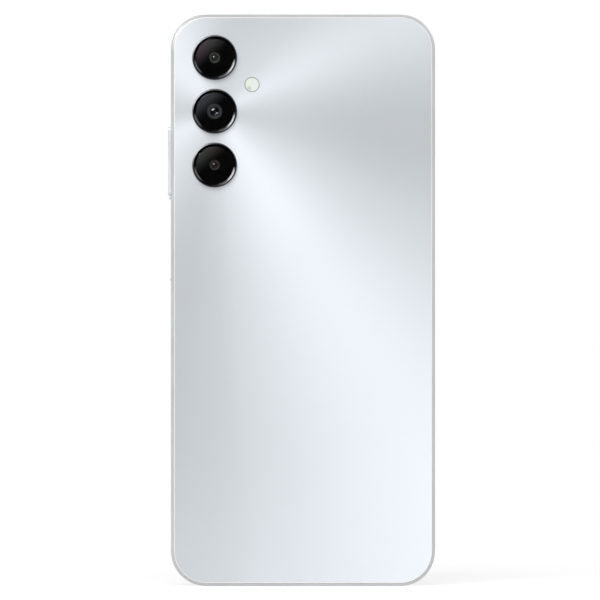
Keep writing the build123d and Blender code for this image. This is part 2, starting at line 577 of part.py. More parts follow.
JACK_BACK = 15.0
with BuildPart() as jack_body:
    block((JACK_X - 3.1, JACK_X + 3.1), (PORT_Y - 2.4, PORT_Y + 2.4), (WALL + FIT, JACK_BACK))
    with Locations((JACK_X, PORT_Y, (0.15 + WALL + FIT) / 2)):
        Cylinder(JACK_NOSE, WALL + FIT - 0.15)
    with Locations((JACK_X, PORT_Y, 0.15 + JACK_DEPTH / 2)):
        Cylinder(JACK_RADIUS, JACK_DEPTH, mode=Mode.SUBTRACT)
    for z in (5.5, 8.5, 11.0):  # slots that the contact leaves lie in
        block((JACK_X + 1.6, JACK_X + 2.8), (PORT_Y - 0.35, PORT_Y + 0.35), (z - 0.8, z + 0.8),
              mode=Mode.SUBTRACT)
write(jack_body, "jack_body")

with BuildPart() as jack_contacts:
    for z in (5.5, 8.5, 11.0):
        block((JACK_X + 1.9, JACK_X + 2.05), (PORT_Y - 0.3, PORT_Y + 0.3), (z - 0.75, z + 0.75))
        block((JACK_X + 2.05, JACK_X + 2.75), (PORT_Y - 0.3, PORT_Y + 0.3), (z + 0.6, z + 0.75))
write(jack_contacts, "jack_contacts")

# Ribbon over the battery, between plugs on the two boards
RIBBON_Y = BATTERY[1][0] - 0.03
RIBBON_THICK = 0.12
PLUG_REAR = BOARD_REAR - 0.8
with BuildPart() as board_link_ribbon:
    with BuildSketch(across(8.0)):
        with BuildLine() as path:
            Polyline((PLUG_REAR, 21.0), (PLUG_REAR, 24.2), (RIBBON_Y, 26.8), (RIBBON_Y, 114.8),
                     (PLUG_REAR, 118.6), (PLUG_REAR, 122.5))
            offset(amount=RIBBON_THICK, side=Side.LEFT)
        make_face()
    extrude(amount=5.0)
    block((8.0, 13.0), (PLUG_REAR, BOARD_REAR), (21.4, 23.6))
    block((8.0, 13.0), (PLUG_REAR, BOARD_REAR), (120.0, 122.2))
write(board_link_ribbon, "board_link_ribbon")

with BuildPart() as antenna_cable:
    with BuildLine() as cable_run:
        FilletPolyline((31.5, -1.4, 121.5), (34.6, -1.4, 117.5), (34.6, -1.4, 29.0), (31.5, -1.4, 23.0),
                       radius=3)
    with BuildSketch(Plane(origin=cable_run.line @ 0, z_dir=cable_run.line % 0)):
        Circle(0.38)
    sweep()
    for x, z in ((31.5, 121.5), (31.5, 23.0)):
        disc(x, z, BOARD_REAR, BOARD_REAR - 0.9, 1.0)
write(antenna_cable, "antenna_cable")

# ---------------------------------------------------------------- loudspeaker
BOX_X = (-35.75, -8.2)
DRIVER_X, DRIVER_Z = -20.0, 13.6
with BuildPart() as speaker_box:
    cavity_piece(1.3, -3.1, BOX_X, (WALL + 0.4, 25.2), gap=0.3)
    block((DRIVER_X - 7.9, DRIVER_X + 7.9), (-2.6, 0.9), (DRIVER_Z - 5.9, DRIVER_Z + 5.9),
          mode=Mode.SUBTRACT)
    block((DRIVER_X - 6.5, DRIVER_X + 6.5), (-1.3, 0.3), (WALL, DRIVER_Z - 5.8), mode=Mode.SUBTRACT)
    for x, z in SPEAKER_SCREWS:
        disc(x, z, 1.3, BOARD_FRONT, POST_RADIUS + 0.1, mode=Mode.SUBTRACT)
        disc(x, z, 1.3, -3.1, SCREW_RADIUS + 0.1, mode=Mode.SUBTRACT)
        disc(x, z, BOARD_REAR, -3.1, HEAD_RADIUS + 0.2, mode=Mode.SUBTRACT)
write(speaker_box, "speaker_box")

with BuildPart() as speaker_magnet:
    block((DRIVER_X - 7.5, DRIVER_X + 7.5), (-2.6, -2.3), (DRIVER_Z - 5.5, DRIVER_Z + 5.5))
    block((DRIVER_X - 3.6, DRIVER_X + 3.6), (-2.3, -1.3), (DRIVER_Z - 2.0, DRIVER_Z + 2.0))
write(speaker_magnet, "speaker_magnet")

with BuildPart() as speaker_diaphragm:
    block((DRIVER_X - 7.2, DRIVER_X + 7.2), (0.0, 0.12), (DRIVER_Z - 5.2, DRIVER_Z + 5.2))
    fillet(speaker_diaphragm.edges().filter_by(Axis.Y), 2.0)
    block((DRIVER_X - 4.4, DRIVER_X + 4.4), (-1.8, 0.0), (DRIVER_Z - 2.8, DRIVER_Z + 2.8))
    block((DRIVER_X - 4.1, DRIVER_X + 4.1), (-1.8, 0.0), (DRIVER_Z - 2.5, DRIVER_Z + 2.5),
          mode=Mode.SUBTRACT)
write(speaker_diaphragm, "speaker_diaphragm")

with BuildPart() as speaker_mesh:
    half = SPEAKER_PITCH * SPEAKER_HOLES / 2 + 0.4
    block((SPEAKER_X - half, SPEAKER_X + half), (PORT_Y - 0.9, PORT_Y + 0.9), (WALL + 0.02, WALL + 0.18))
write(speaker_mesh, "speaker_mesh")

# ---------------------------------------------------------------- vibration motor
SHAFT_RADIUS = 0.4
with BuildPart() as motor_case:
    disc(MOTOR_X, MOTOR_Z, 1.35, -1.4, MOTOR_RADIUS)
    fillet(motor_case.edges().group_by(Axis.Y)[0], 0.3)
    disc(MOTOR_X, MOTOR_Z, 1.15, -1.15, MOTOR_RADIUS - 0.25, mode=Mode.SUBTRACT)
    disc(MOTOR_X, MOTOR_Z, 1.15, -1.15, SHAFT_RADIUS)
write(motor_case, "motor_case")

with BuildPart() as motor_rotor:
    disc(MOTOR_X, MOTOR_Z, 0.7, -0.7, MOTOR_RADIUS - 0.6)
    block((MOTOR_X - 5, MOTOR_X + 5), (-0.7, 0.4), (MOTOR_Z, MOTOR_Z + 5), mode=Mode.SUBTRACT)
    disc(MOTOR_X, MOTOR_Z, 0.7, -0.7, SHAFT_RADIUS + 0.6)
    disc(MOTOR_X, MOTOR_Z, 0.7, -0.7, SHAFT_RADIUS + 0.05, mode=Mode.SUBTRACT)
write(motor_rotor, "motor_rotor")

# ---------------------------------------------------------------- side keys
FLANGE_OUT = -KEY_POCKET + 0.25
FLANGE_IN = FLANGE_OUT + KEY_FLANGE
DOME_TOP = FLANGE_IN + 0.6
with BuildPart() as volume_key:
    slot_across(-SIDE - KEY_PROUD, FLANGE_OUT, PORT_Y, VOLUME_Z, VOLUME_LENGTH, KEY_WIDTH)
    fillet(volume_key.edges().group_by(Axis.X)[0], 0.5)
    slot_across(FLANGE_OUT, FLANGE_IN, PORT_Y, VOLUME_Z, VOLUME_LENGTH + 2.2, KEY_WIDTH + 1.0)
    for z in (VOLUME_Z - NUB_SPACING, VOLUME_Z + NUB_SPACING):
        with Locations(Location((FLANGE_IN + 0.225, PORT_Y, z), (0, 90, 0))):
            Cylinder(0.7, 0.45)
    with Locations(Location((KEY_PIVOT_X, PORT_Y, VOLUME_Z), (90, 0, 0))):
        Cylinder(KEY_PIVOT_RADIUS, KEY_WIDTH + 1.2)
write(volume_key, "volume_key")

SENSOR_DEPTH = 0.3
POWER_FACE = -SIDE + 0.08
with BuildPart() as power_key:
    slot_across(POWER_FACE, FLANGE_OUT, PORT_Y, POWER_Z, POWER_LENGTH, KEY_WIDTH)
    chamfer(power_key.edges().group_by(Axis.X)[0], 0.12)
    slot_across(POWER_FACE - 0.1, POWER_FACE + SENSOR_DEPTH, PORT_Y, POWER_Z, POWER_LENGTH - 0.9,
                KEY_WIDTH - 0.6, mode=Mode.SUBTRACT)
    slot_across(FLANGE_OUT, FLANGE_IN, PORT_Y, POWER_Z, POWER_LENGTH + 2.0, KEY_WIDTH + 1.0)
    with Locations(Location((FLANGE_IN + 0.15, PORT_Y, POWER_Z), (0, 90, 0))):
        Cylinder(0.8, 0.3)
write(power_key, "power_key")

with BuildPart() as fingerprint_sensor:
    slot_across(POWER_FACE + 0.03, POWER_FACE + SENSOR_DEPTH, PORT_Y, POWER_Z, POWER_LENGTH - 1.0,
                KEY_WIDTH - 0.7)
write(fingerprint_sensor, "fingerprint_sensor")

with BuildPart() as key_flex:
    block((DOME_TOP + 0.2, DOME_TOP + 0.32), (PORT_Y - 1.5, PORT_Y + 1.5), (88.0, 134.5))
    for z in (VOLUME_Z - NUB_SPACING, VOLUME_Z + NUB_SPACING, POWER_Z):
        with Locations(Location((DOME_TOP + 0.1, PORT_Y, z), (0, -90, 0))):
            Cone(1.4, 0.6, 0.2)
write(key_flex, "key_flex")

with BuildPart() as key_bracket:
    block((DOME_TOP + 0.32, DOME_TOP + 0.57), (PORT_Y - 1.6, PORT_Y + 1.6), (88.0, 134.5))
write(key_bracket, "key_bracket")

# ---------------------------------------------------------------- SIM tray and ejector
TRAY_BACK = SIDE - TRAY_FACE_DEPTH
CARD_REST = 0.6  # ledge that a card rests on
TRAY_Y = (SIM_Y - TRAY_THICK / 2, SIM_Y + TRAY_THICK / 2)
# Card bays from the tray's face inwards: near end, far end, length along Z
BAYS = [(24.9, 36.1, 15.2), (14.8, 23.8, 12.5), (4.9, 13.9, 12.5)]
with BuildPart() as sim_tray:
    slot_across(TRAY_BACK, SIDE - 0.05, SIM_Y, TRAY_FACE_Z, TRAY_FACE_LENGTH, TRAY_FACE_WIDTH)
    fillet(sim_tray.edges().group_by(Axis.X)[-1], 0.15)
    block((TRAY_END, TRAY_BACK), TRAY_Y, (TRAY_LOW, TRAY_HIGH))
    for near, far, length in BAYS:
        bay_z = (TRAY_LOW + TRAY_HIGH) / 2
        with BuildSketch(facing(TRAY_Y[0] + 0.72)):
            with Locations(((near + far) / 2, bay_z)):
                RectangleRounded(far - near, length, 0.6)
            with Locations(Location((far, bay_z - length / 2), 45)):
                Rectangle(2.4, 2.4, mode=Mode.SUBTRACT)
        extrude(amount=0.72, mode=Mode.SUBTRACT)
        with BuildSketch(facing(TRAY_Y[1])):
            with Locations(((near + far) / 2, bay_z)):
                RectangleRounded(far - near - 2 * CARD_REST, length - 4, 0.6)
        extrude(amount=TRAY_THICK, mode=Mode.SUBTRACT)
    with Locations(Location((SIDE - 0.7, SIM_Y, EJECT_Z), (0, 90, 0))):
        Cylinder(0.45, 2, mode=Mode.SUBTRACT)
write(sim_tray, "sim_tray")

SOCKET = ((-1.6, SIDE - WALL - 0.15), (BOARD_FRONT, 1.3), (129.9, 151.2))
SHEET = 0.12
with BuildPart() as sim_socket:
    block(*SOCKET)
    block((SOCKET[0][0] + SHEET, SOCKET[0][1]), (SOCKET[1][0] + SHEET, SOCKET[1][1] - SHEET),
          (SOCKET[2][0] + SHEET, SOCKET[2][1] - SHEET), mode=Mode.SUBTRACT)
    for near, far, length in BAYS:  # windows in the front sheet, over the cards
        block((near + 1.5, far - 1.5), (SOCKET[1][1] - SHEET, SOCKET[1][1]), (134.0, 144.5),
              mode=Mode.SUBTRACT)
    disc(LEVER_X, LEVER_Z, SOCKET[1][1] - SHEET, SOCKET[1][0] + SHEET, 0.45)
write(sim_socket, "sim_socket")

with BuildPart() as eject_rod:
    with Locations(Location((19.3, SIM_Y, EJECT_Z), (0, 90, 0))):
        Cylinder(0.4, 35.1)
write(eject_rod, "eject_rod")

with BuildPart() as eject_lever:
    with BuildSketch(facing(SIM_Y + 0.25)):
        with Locations((LEVER_X, LEVER_Z)):
            Circle(1.0)
        with Locations((LEVER_X, (139.0 + 150.5) / 2)):
            SlotOverall(11.5, 1.1, rotation=90)
        with Locations((LEVER_X + 0.3, 139.7)):
            Circle(0.6)
        with Locations((LEVER_X, LEVER_Z)):
            Circle(0.5, mode=Mode.SUBTRACT)
    extrude(amount=0.5)
write(eject_lever, "eject_lever")
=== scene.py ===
"""Looks for the smartphone: materials for every CAD node, lens and glass pieces, studio and camera.

The phone stands upright with its rear cover towards -Y, so the camera looks along +Y.
Lengths are in metres; MM turns millimetres into metres.
"""

import itertools
import json
import math

import bpy
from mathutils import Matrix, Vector

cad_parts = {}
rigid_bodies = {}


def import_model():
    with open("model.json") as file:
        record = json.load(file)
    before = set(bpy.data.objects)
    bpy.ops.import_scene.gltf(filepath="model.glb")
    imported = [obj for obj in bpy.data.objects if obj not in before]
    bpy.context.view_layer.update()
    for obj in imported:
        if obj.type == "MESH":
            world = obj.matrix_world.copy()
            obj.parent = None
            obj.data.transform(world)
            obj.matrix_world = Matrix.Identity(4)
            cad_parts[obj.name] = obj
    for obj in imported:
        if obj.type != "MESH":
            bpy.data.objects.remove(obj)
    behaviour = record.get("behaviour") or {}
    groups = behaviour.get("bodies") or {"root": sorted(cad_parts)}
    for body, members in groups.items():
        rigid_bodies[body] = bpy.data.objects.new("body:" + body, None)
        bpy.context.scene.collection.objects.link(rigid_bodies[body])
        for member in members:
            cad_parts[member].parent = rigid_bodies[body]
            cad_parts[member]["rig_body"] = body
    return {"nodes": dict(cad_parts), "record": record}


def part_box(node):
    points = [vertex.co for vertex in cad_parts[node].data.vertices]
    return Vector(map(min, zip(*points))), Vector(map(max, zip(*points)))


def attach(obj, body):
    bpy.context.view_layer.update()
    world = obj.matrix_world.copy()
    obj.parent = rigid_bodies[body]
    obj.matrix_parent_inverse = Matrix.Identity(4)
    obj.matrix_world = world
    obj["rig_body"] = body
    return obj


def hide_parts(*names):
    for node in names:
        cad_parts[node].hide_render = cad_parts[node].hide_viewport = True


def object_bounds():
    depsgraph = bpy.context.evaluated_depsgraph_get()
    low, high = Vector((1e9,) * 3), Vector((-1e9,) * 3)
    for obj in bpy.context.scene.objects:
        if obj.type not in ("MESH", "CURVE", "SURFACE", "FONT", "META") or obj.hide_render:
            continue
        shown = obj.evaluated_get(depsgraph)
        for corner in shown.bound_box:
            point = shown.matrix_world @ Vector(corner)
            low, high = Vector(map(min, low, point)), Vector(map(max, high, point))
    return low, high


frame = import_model()
cad_low, cad_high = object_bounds()

MM = 0.001
NODES = frame["nodes"]
SLOT_OF = {part["node"]: part["material_slot"] for part in frame["record"]["subparts"]}
PANEL_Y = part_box("rear_cover")[0].y  # the rear cover's outer face
CAMERAS = ("upper", "main", "lower")


def centre_of(node):
    """The middle of a CAD node's box."""
    low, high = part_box(node)
    return (low + high) / 2


def half_width(node):
    """Half of a CAD node's extent along X, which is the radius of a turned piece."""
    low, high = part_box(node)
    return (high.x - low.x) / 2


def body_of(node):
    """The CAD body that a node rides on."""
    return NODES[node]["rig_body"]


# ------------------------------------------------------------------ node trees
class Nodes:
    """Builds a node tree by calls that return output sockets."""

    def __init__(self, tree):
        self.tree = tree
        tree.nodes.clear()

    def add(self, kind, *values, get=0, **named):
        """Adds a node. Values fill its inputs in order, and names fill its inputs or its settings."""
        made = self.tree.nodes.new("ShaderNode" + kind)
        by_name = {socket.name.lower().replace(" ", "_"): socket for socket in reversed(made.inputs)}
        for key, value in named.items():
            if key in by_name:
                self.feed(by_name[key], value)
            else:
                setattr(made, key, value)
        for socket, value in zip(made.inputs, values):
            self.feed(socket, value)
        return made.outputs[get]

    def feed(self, socket, value):
        """Links a socket, or sets its default."""
        if isinstance(value, bpy.types.NodeSocket):
            self.tree.links.new(value, socket)
        elif value is not None:
            if hasattr(socket.default_value, "__len__") and hasattr(value, "__len__"):
                value = (*value, 1.0)[: len(socket.default_value)]
            socket.default_value = value

    def math(self, operation, *values, clamp=False):
        """One step of arithmetic on numbers."""
        return self.add("Math", *values, operation=operation, use_clamp=clamp)

    def ramp(self, factor, low, high, to_low=0.0, to_high=1.0):
        """Smooth step from to_low at low to to_high at high."""
        return self.add("MapRange", factor, low, high, to_low, to_high, interpolation_type="SMOOTHSTEP")

    def vary(self, noise, low=0.0, high=1.0):
        """Spreads the middle of a noise's range from low to high."""
        return self.ramp(noise, 0.3, 0.7, low, high)

    def ripple(self, along, pitch):
        """Sine wave that repeats once every pitch."""
        return self.math("SINE", self.math("MULTIPLY", along, math.tau / pitch))

    def blend(self, factor, first, second):
        """Colour mix."""
        made = self.tree.nodes.new("ShaderNodeMix")
        made.data_type = "RGBA"
        self.feed(made.inputs[0], factor)
        self.feed(made.inputs[6], first)
        self.feed(made.inputs[7], second)
        return made.outputs[2]

    def pick(self, factor, first, second):
        """Number mix."""
        made = self.tree.nodes.new("ShaderNodeMix")
        self.feed(made.inputs[0], factor)
        self.feed(made.inputs[2], first)
        self.feed(made.inputs[3], second)
        return made.outputs[0]

    def place(self):
        """Position in the phone's own frame, which rides with its body."""
        return self.add("TexCoord", get="Object")

    def split(self, vector):
        """The X, Y and Z of a vector."""
        return self.add("SeparateXYZ", vector).node.outputs

    def minus(self, first, second):
        """Difference of two vectors."""
        return self.add("VectorMath", first, tuple(second), operation="SUBTRACT")

    def dot(self, first, second):
        """Dot product, which is how far one vector reaches along the other."""
        return self.add("VectorMath", first, tuple(second), operation="DOT_PRODUCT", get="Value")

    def length(self, vector):
        """Length of a vector."""
        return self.add("VectorMath", vector, operation="LENGTH", get="Value")

    def noise(self, scale, detail=2.0, squeeze=None):
        """Noise, about scale blobs a metre, squeezed along an axis if asked."""
        where = self.place()
        if squeeze:
            where = self.add("VectorMath", where, squeeze, operation="MULTIPLY")
        return self.add("TexNoise", vector=where, scale=scale, detail=detail)

    def bump(self, height, distance, strength=1.0):
        """Normal that a relief of this height and depth would give."""
        return self.add("Bump", strength=strength, distance=distance, height=height)

    def fresnel(self, ior=1.5):
        """Mirror share of a clear surface, seen from outside its solid."""
        outside = self.math("SUBTRACT", 1, self.add("NewGeometry", get="Backfacing"))
        return self.math("MULTIPLY", self.add("Fresnel", ior=ior), outside)

    def finish(self, shader):
        """Makes a shader the material's surface."""
        output = self.tree.nodes.new("ShaderNodeOutputMaterial")
        self.tree.links.new(shader, output.inputs["Surface"])


def new_material(name):
    """An empty material and its node builder."""
    material = bpy.data.materials.new(name)
    material.use_nodes = True
    return material, Nodes(material.node_tree)


def shade(colour, amount):
    """The colour made darker or lighter by a factor."""
    return tuple(min(1.0, channel * amount) for channel in colour)


def distance_from(nodes, centre):
    """Distance from an axis that runs along Y through a point."""
    offset = nodes.minus(nodes.place(), centre)
    return nodes.length(nodes.add("VectorMath", offset, (1, 0, 1), operation="MULTIPLY"))


# ------------------------------------------------------------------ rear cover
SHEEN_CENTRE = centre_of("camera_window_main") + Vector((0.9 * MM, 0, -0.3 * MM))
# Painted sheen, lobes of reflected light put into the cover's colour: angle in degrees, counter-clockwise
# from +X as the rear cover is looked at, and brightness
SHEEN = [
    (-106, 0.08), (-96, 0.15), (-85, 0.41), (-60, 0.90), (-40, 0.62), (-22, 0.26), (-4, 0.08), (12, 0.26),
    (28, 0.47), (50, 0.14), (86, 0.15), (108, 0.60), (132, 0.78), (152, 0.48), (179, 0.11), (206, 0.52),
    (228, 0.32),
]
SHEEN_START = SHEEN[0][0]
# How the sheen changes outwards: the radii where a change starts and ends, and its amount at each
SHEEN_CORE_LEVEL = 0.5
SHEEN_CORE_SHARE = (5 * MM, 35 * MM, 0.22, 0.0)
SHEEN_INNER_GAIN = (12 * MM, 55 * MM, 0.05, -0.09)
SHEEN_OUTER_GAIN = (90 * MM, 140 * MM, 0.0, 0.09)
# Ends of the painted sheen: painted shade at the dark end, painted reflection of the studio's light at the
# bright end
PAINTED_SHEEN_DARK = (0.506, 0.534, 0.560)
PAINTED_SHEEN_BRIGHT = (0.895, 0.945, 0.995)
# Painted highlight: the rear cover's rounded edge is coloured near white where light glints on it
PAINTED_EDGE_HIGHLIGHT = (1.0, 1.0, 1.0)
COVER_GRAIN = 0.02  # change of brightness from one grain of the film to the next
HIGHLIGHT_START, HIGHLIGHT_END = -0.998, -0.96  # the surface normal's Y where the panel's rounded edge brightens


def painted_sheen_brightness(nodes):
    """How bright the painted sheen is in each direction from its centre, and further out: reflected light,
    as on a circular-brushed film, put into the colour.
    """
    offset = nodes.split(nodes.minus(nodes.place(), SHEEN_CENTRE))
    angle = nodes.math("ARCTAN2", offset["Z"], offset["X"])
    turns = nodes.math("DIVIDE", nodes.math("SUBTRACT", angle, math.radians(SHEEN_START)), math.tau)
    ramp = nodes.add("ValToRGB", nodes.math("FRACT", turns)).node
    ramp.color_ramp.interpolation = "CARDINAL"
    stops = ramp.color_ramp.elements
    stops.remove(stops[1])
    for i, (degrees, level) in enumerate([*SHEEN, (SHEEN_START + 360, SHEEN[0][1])]):
        stop = stops[0] if i == 0 else stops.new((degrees - SHEEN_START) / 360)
        stop.position = (degrees - SHEEN_START) / 360
        stop.color = (level, level, level, 1)
    radius = distance_from(nodes, SHEEN_CENTRE)
    core = nodes.ramp(radius, *SHEEN_CORE_SHARE)
    level = nodes.pick(core, ramp.outputs["Color"], SHEEN_CORE_LEVEL)
    level = nodes.math("ADD", level, nodes.ramp(radius, *SHEEN_INNER_GAIN))
    return nodes.math("ADD", level, nodes.ramp(radius, *SHEEN_OUTER_GAIN), clamp=True)


def cover_material():
    """Silver film under a clear gloss coat, with a painted sheen in its colour and a painted highlight
    along the panel's rounded edge.
    """
    material, nodes = new_material("cover_film")
    grain = nodes.noise(9000, 3)
    grain_level = nodes.vary(grain, -COVER_GRAIN, COVER_GRAIN)
    # Painted sheen, plus the film's own grain
    brightness = nodes.math("ADD", painted_sheen_brightness(nodes), grain_level)
    film = nodes.blend(brightness, PAINTED_SHEEN_DARK, PAINTED_SHEEN_BRIGHT)
    # Painted highlight along the rounded edge, where the normal turns away from -Y
    facing = nodes.split(nodes.add("TexCoord", get="Normal"))["Y"]
    colour = nodes.blend(nodes.ramp(facing, HIGHLIGHT_START, HIGHLIGHT_END), film, PAINTED_EDGE_HIGHLIGHT)
    radial = nodes.minus(nodes.place(), SHEEN_CENTRE)
    tangent = nodes.add("VectorMath", radial, (0, 1, 0), operation="CROSS_PRODUCT")
    gloss = nodes.add(
        "BsdfPrincipled", base_color=colour, metallic=0.12, roughness=0.38, anisotropic=0.7,
        tangent=tangent, coat_weight=0.6, coat_roughness=0.04,
        normal=nodes.bump(grain, 0.002 * MM, 0.3),
    )
    nodes.finish(gloss)
    return material


# ------------------------------------------------------------------ general finishes
FLAKE_COLOUR = (0.8, 0.82, 0.84)
FLAKE_SHARE = 0.08


def frame_paint(name, colour):
    """Satin silver paint with fine flake and a slightly cloudy gloss."""
    material, nodes = new_material(name)
    flake = nodes.add("TexVoronoi", vector=nodes.place(), scale=7000, get="Color")
    sparkle = nodes.add("SeparateColor", flake)
    cloud = nodes.noise(60, 3)
    tint = nodes.blend(nodes.ramp(cloud, 0.35, 0.65), shade(colour, 0.97), shade(colour, 1.03))
    flaked = nodes.blend(nodes.math("MULTIPLY", sparkle, FLAKE_SHARE), tint, FLAKE_COLOUR)
    nodes.finish(nodes.add(
        "BsdfPrincipled", base_color=flaked, metallic=0.2,
        roughness=nodes.vary(cloud, 0.30, 0.36), coat_weight=0.35, coat_roughness=0.12,
        normal=nodes.bump(nodes.noise(12000, 2), 0.002 * MM, 0.4),
    ))
    return material


def plastic(name, colour, roughness=0.5, grain=6000, depth=0.01, specular=0.5):
    """Moulded plastic with a spark-eroded grain."""
    material, nodes = new_material(name)
    cloud = nodes.noise(120, 3)
    texture = nodes.noise(grain, 2)
    nodes.finish(nodes.add(
        "BsdfPrincipled",
        base_color=nodes.blend(nodes.vary(cloud), shade(colour, 0.85), shade(colour, 1.15)),
        roughness=nodes.vary(texture, roughness - 0.06, roughness + 0.06),
        specular_ior_level=specular, normal=nodes.bump(texture, depth * MM, 0.5),
    ))
    return material


def metal(name, colour, roughness=0.25, squeeze=(1, 1, 12), scale=900):
    """Brushed or rolled metal with fine lines that run across the squeezed axis."""
    material, nodes = new_material(name)
    lines = nodes.noise(scale, 4, squeeze)
    stain = nodes.noise(90, 3)
    nodes.finish(nodes.add(
        "BsdfPrincipled", metallic=1.0,
        base_color=nodes.blend(nodes.vary(stain), shade(colour, 0.85), colour),
        roughness=nodes.vary(lines, roughness - 0.05, roughness + 0.08),
        normal=nodes.bump(lines, 0.003 * MM, 0.5),
    ))
    return material


PAD_GOLD = (0.62, 0.45, 0.16)


def board_mask(name, colour):
    """Green solder mask over copper tracks that just show, with gilt pads."""
    material, nodes = new_material(name)
    tracks = nodes.add("TexBrick", vector=nodes.place(), scale=700, mortar_size=0.06, get="Fac")
    pads = nodes.ramp(nodes.add("TexVoronoi", vector=nodes.place(), scale=900), 0.12, 0.16)
    base = nodes.blend(tracks, colour, shade(colour, 1.7))
    nodes.finish(nodes.add(
        "BsdfPrincipled", base_color=nodes.blend(pads, PAD_GOLD, base),
        roughness=0.35, coat_weight=0.4, normal=nodes.bump(tracks, 0.02 * MM, 0.4),
    ))
    return material


def foil_wrap(name, colour):
    """Battery pouch: dark laminate with soft creases, with painted shade in their hollows and a painted
    highlight on their ridges.
    """
    material, nodes = new_material(name)
    creases_and_shade = nodes.noise(70, 5)
    nodes.finish(nodes.add(
        # Painted shade and highlight: the colour follows the creases' relief, dark in hollows, light on
        # ridges
        "BsdfPrincipled", base_color=nodes.blend(creases_and_shade, shade(colour, 0.7), shade(colour, 1.4)),
        metallic=0.7, roughness=0.42, normal=nodes.bump(creases_and_shade, 0.4 * MM, 0.4),
    ))
    return material


WIRE_PITCH = 0.22 * MM
# Painted shade: the gaps between the wires, where the dark behind the mesh would show
MESH_GAP_SHADE = (0.005, 0.005, 0.005)


def woven_mesh(name, colour):
    """Fine acoustic mesh: two crossed sets of wires, with painted shade in the gaps between them."""
    material, nodes = new_material(name)
    place = nodes.split(nodes.place())
    # Y plus Z runs along either mesh's second direction, whichever way the mesh faces
    upright = nodes.math("ADD", place["Y"], place["Z"])
    waves = [nodes.ripple(along, WIRE_PITCH) for along in (place["X"], upright)]
    wires = nodes.ramp(nodes.math("MAXIMUM", *waves), -0.2, 0.8)
    nodes.finish(nodes.add(
        "BsdfPrincipled", base_color=nodes.blend(wires, MESH_GAP_SHADE, colour),
        metallic=0.8, roughness=0.4, normal=nodes.bump(wires, 0.03 * MM, 0.8),
    ))
    return material


FLASH_RIDGE_PITCH = 0.22 * MM
# What shows through the flash lens: its place from the middle, and where it starts and stops to fade
LAMP_OFFSET, LAMP_FADE = Vector((-0.7 * MM, 0, 0.2 * MM)), (0.2 * MM, 1.3 * MM)
CONTACT_OFFSET, CONTACT_FADE = Vector((-0.8 * MM, 0, -1.1 * MM)), (0.2 * MM, 0.9 * MM)
FLASH_MILKY = (0.71, 0.75, 0.72)
FLASH_LAMP = (0.69, 0.77, 0.62)
FLASH_CONTACT = (0.52, 0.56, 0.53)
FLASH_MOTTLE = (0.62, 0.66, 0.62)
MOTTLE_SHARE = (0.4, 0.75, 0.0, 0.25)  # two levels of the mottle's noise, and its share at each


def flash_diffuser():
    """Milky lens with fine concentric ridges, mottled by the lamp and a contact behind it."""
    material, nodes = new_material("flash_diffuser")
    centre = centre_of("flash_lens")
    ridges = nodes.ripple(distance_from(nodes, centre), FLASH_RIDGE_PITCH)
    lamp = nodes.ramp(distance_from(nodes, centre + LAMP_OFFSET), *LAMP_FADE)
    contact = nodes.ramp(distance_from(nodes, centre + CONTACT_OFFSET), *CONTACT_FADE)
    mottle = nodes.ramp(nodes.noise(900, 3), *MOTTLE_SHARE)
    colour = nodes.blend(lamp, FLASH_LAMP, FLASH_MILKY)
    colour = nodes.blend(contact, FLASH_CONTACT, colour)
    colour = nodes.blend(mottle, colour, FLASH_MOTTLE)
    nodes.finish(nodes.add(
        "BsdfPrincipled", base_color=colour, roughness=0.22, subsurface_weight=0.15,
        subsurface_radius=(1, 1, 1), subsurface_scale=0.3 * MM, coat_weight=0.5,
        normal=nodes.bump(ridges, 0.01 * MM, 0.25),
    ))
    return material


# ------------------------------------------------------------------ screen
ACTIVE_HALF_WIDTH = 34.9 * MM
ACTIVE_LOW = cad_low.z + 7.4 * MM
ACTIVE_HIGH = cad_high.z - 4.7 * MM
ACTIVE_CORNER = 5.5 * MM
NOTCH_HALF_WIDTH = 3.5 * MM
FRONT_CAMERA = centre_of("front_camera_module")
FRONT_CAMERA_HOLE = 1.35 * MM
BORDER_BLACK = (0.003, 0.003, 0.004)
ROW_DARK, ROW_LIGHT = (0.013, 0.015, 0.020), (0.022, 0.024, 0.031)
PANEL_CLOUD = (0.024, 0.022, 0.028)
CLEAR_GLASS = (0.93, 0.94, 0.95)
SCREEN_SMEAR = (0.45, 0.8, 0.015, 0.06)  # two levels of the smears' noise, and the roughness at each


def active_area(nodes):
    """1 inside the active part of the screen, 0 on its black border and in the camera's notch."""
    place = nodes.split(nodes.place())
    x, z = nodes.math("ABSOLUTE", place["X"]), place["Z"]
    middle, half_height = (ACTIVE_LOW + ACTIVE_HIGH) / 2, (ACTIVE_HIGH - ACTIVE_LOW) / 2
    up = nodes.math("ABSOLUTE", nodes.math("SUBTRACT", z, middle))
    over_x = nodes.math("MAXIMUM", nodes.math("SUBTRACT", x, ACTIVE_HALF_WIDTH - ACTIVE_CORNER), 0)
    over_z = nodes.math("MAXIMUM", nodes.math("SUBTRACT", up, half_height - ACTIVE_CORNER), 0)
    corner = nodes.length(nodes.add("CombineXYZ", over_x, over_z, 0))
    inside = nodes.math("LESS_THAN", corner, ACTIVE_CORNER)
    # The notch is a round-bottomed slot that runs up from the front camera
    below = nodes.math("MINIMUM", nodes.math("SUBTRACT", z, FRONT_CAMERA.z), 0)
    to_camera = nodes.length(nodes.add("CombineXYZ", x, below, 0))
    clear = nodes.math("GREATER_THAN", to_camera, NOTCH_HALF_WIDTH)
    return nodes.math("MULTIPLY", inside, clear)


def panel_colour(nodes):
    """The display when it's off: near black in fine rows, with a faint blue cast."""
    rows = nodes.add("TexWave", vector=nodes.place(), scale=3000, bands_direction="Z", get="Fac")
    cloud = nodes.vary(nodes.noise(25), 0.0, 0.3)
    return nodes.blend(cloud, nodes.blend(rows, ROW_DARK, ROW_LIGHT), PANEL_CLOUD)


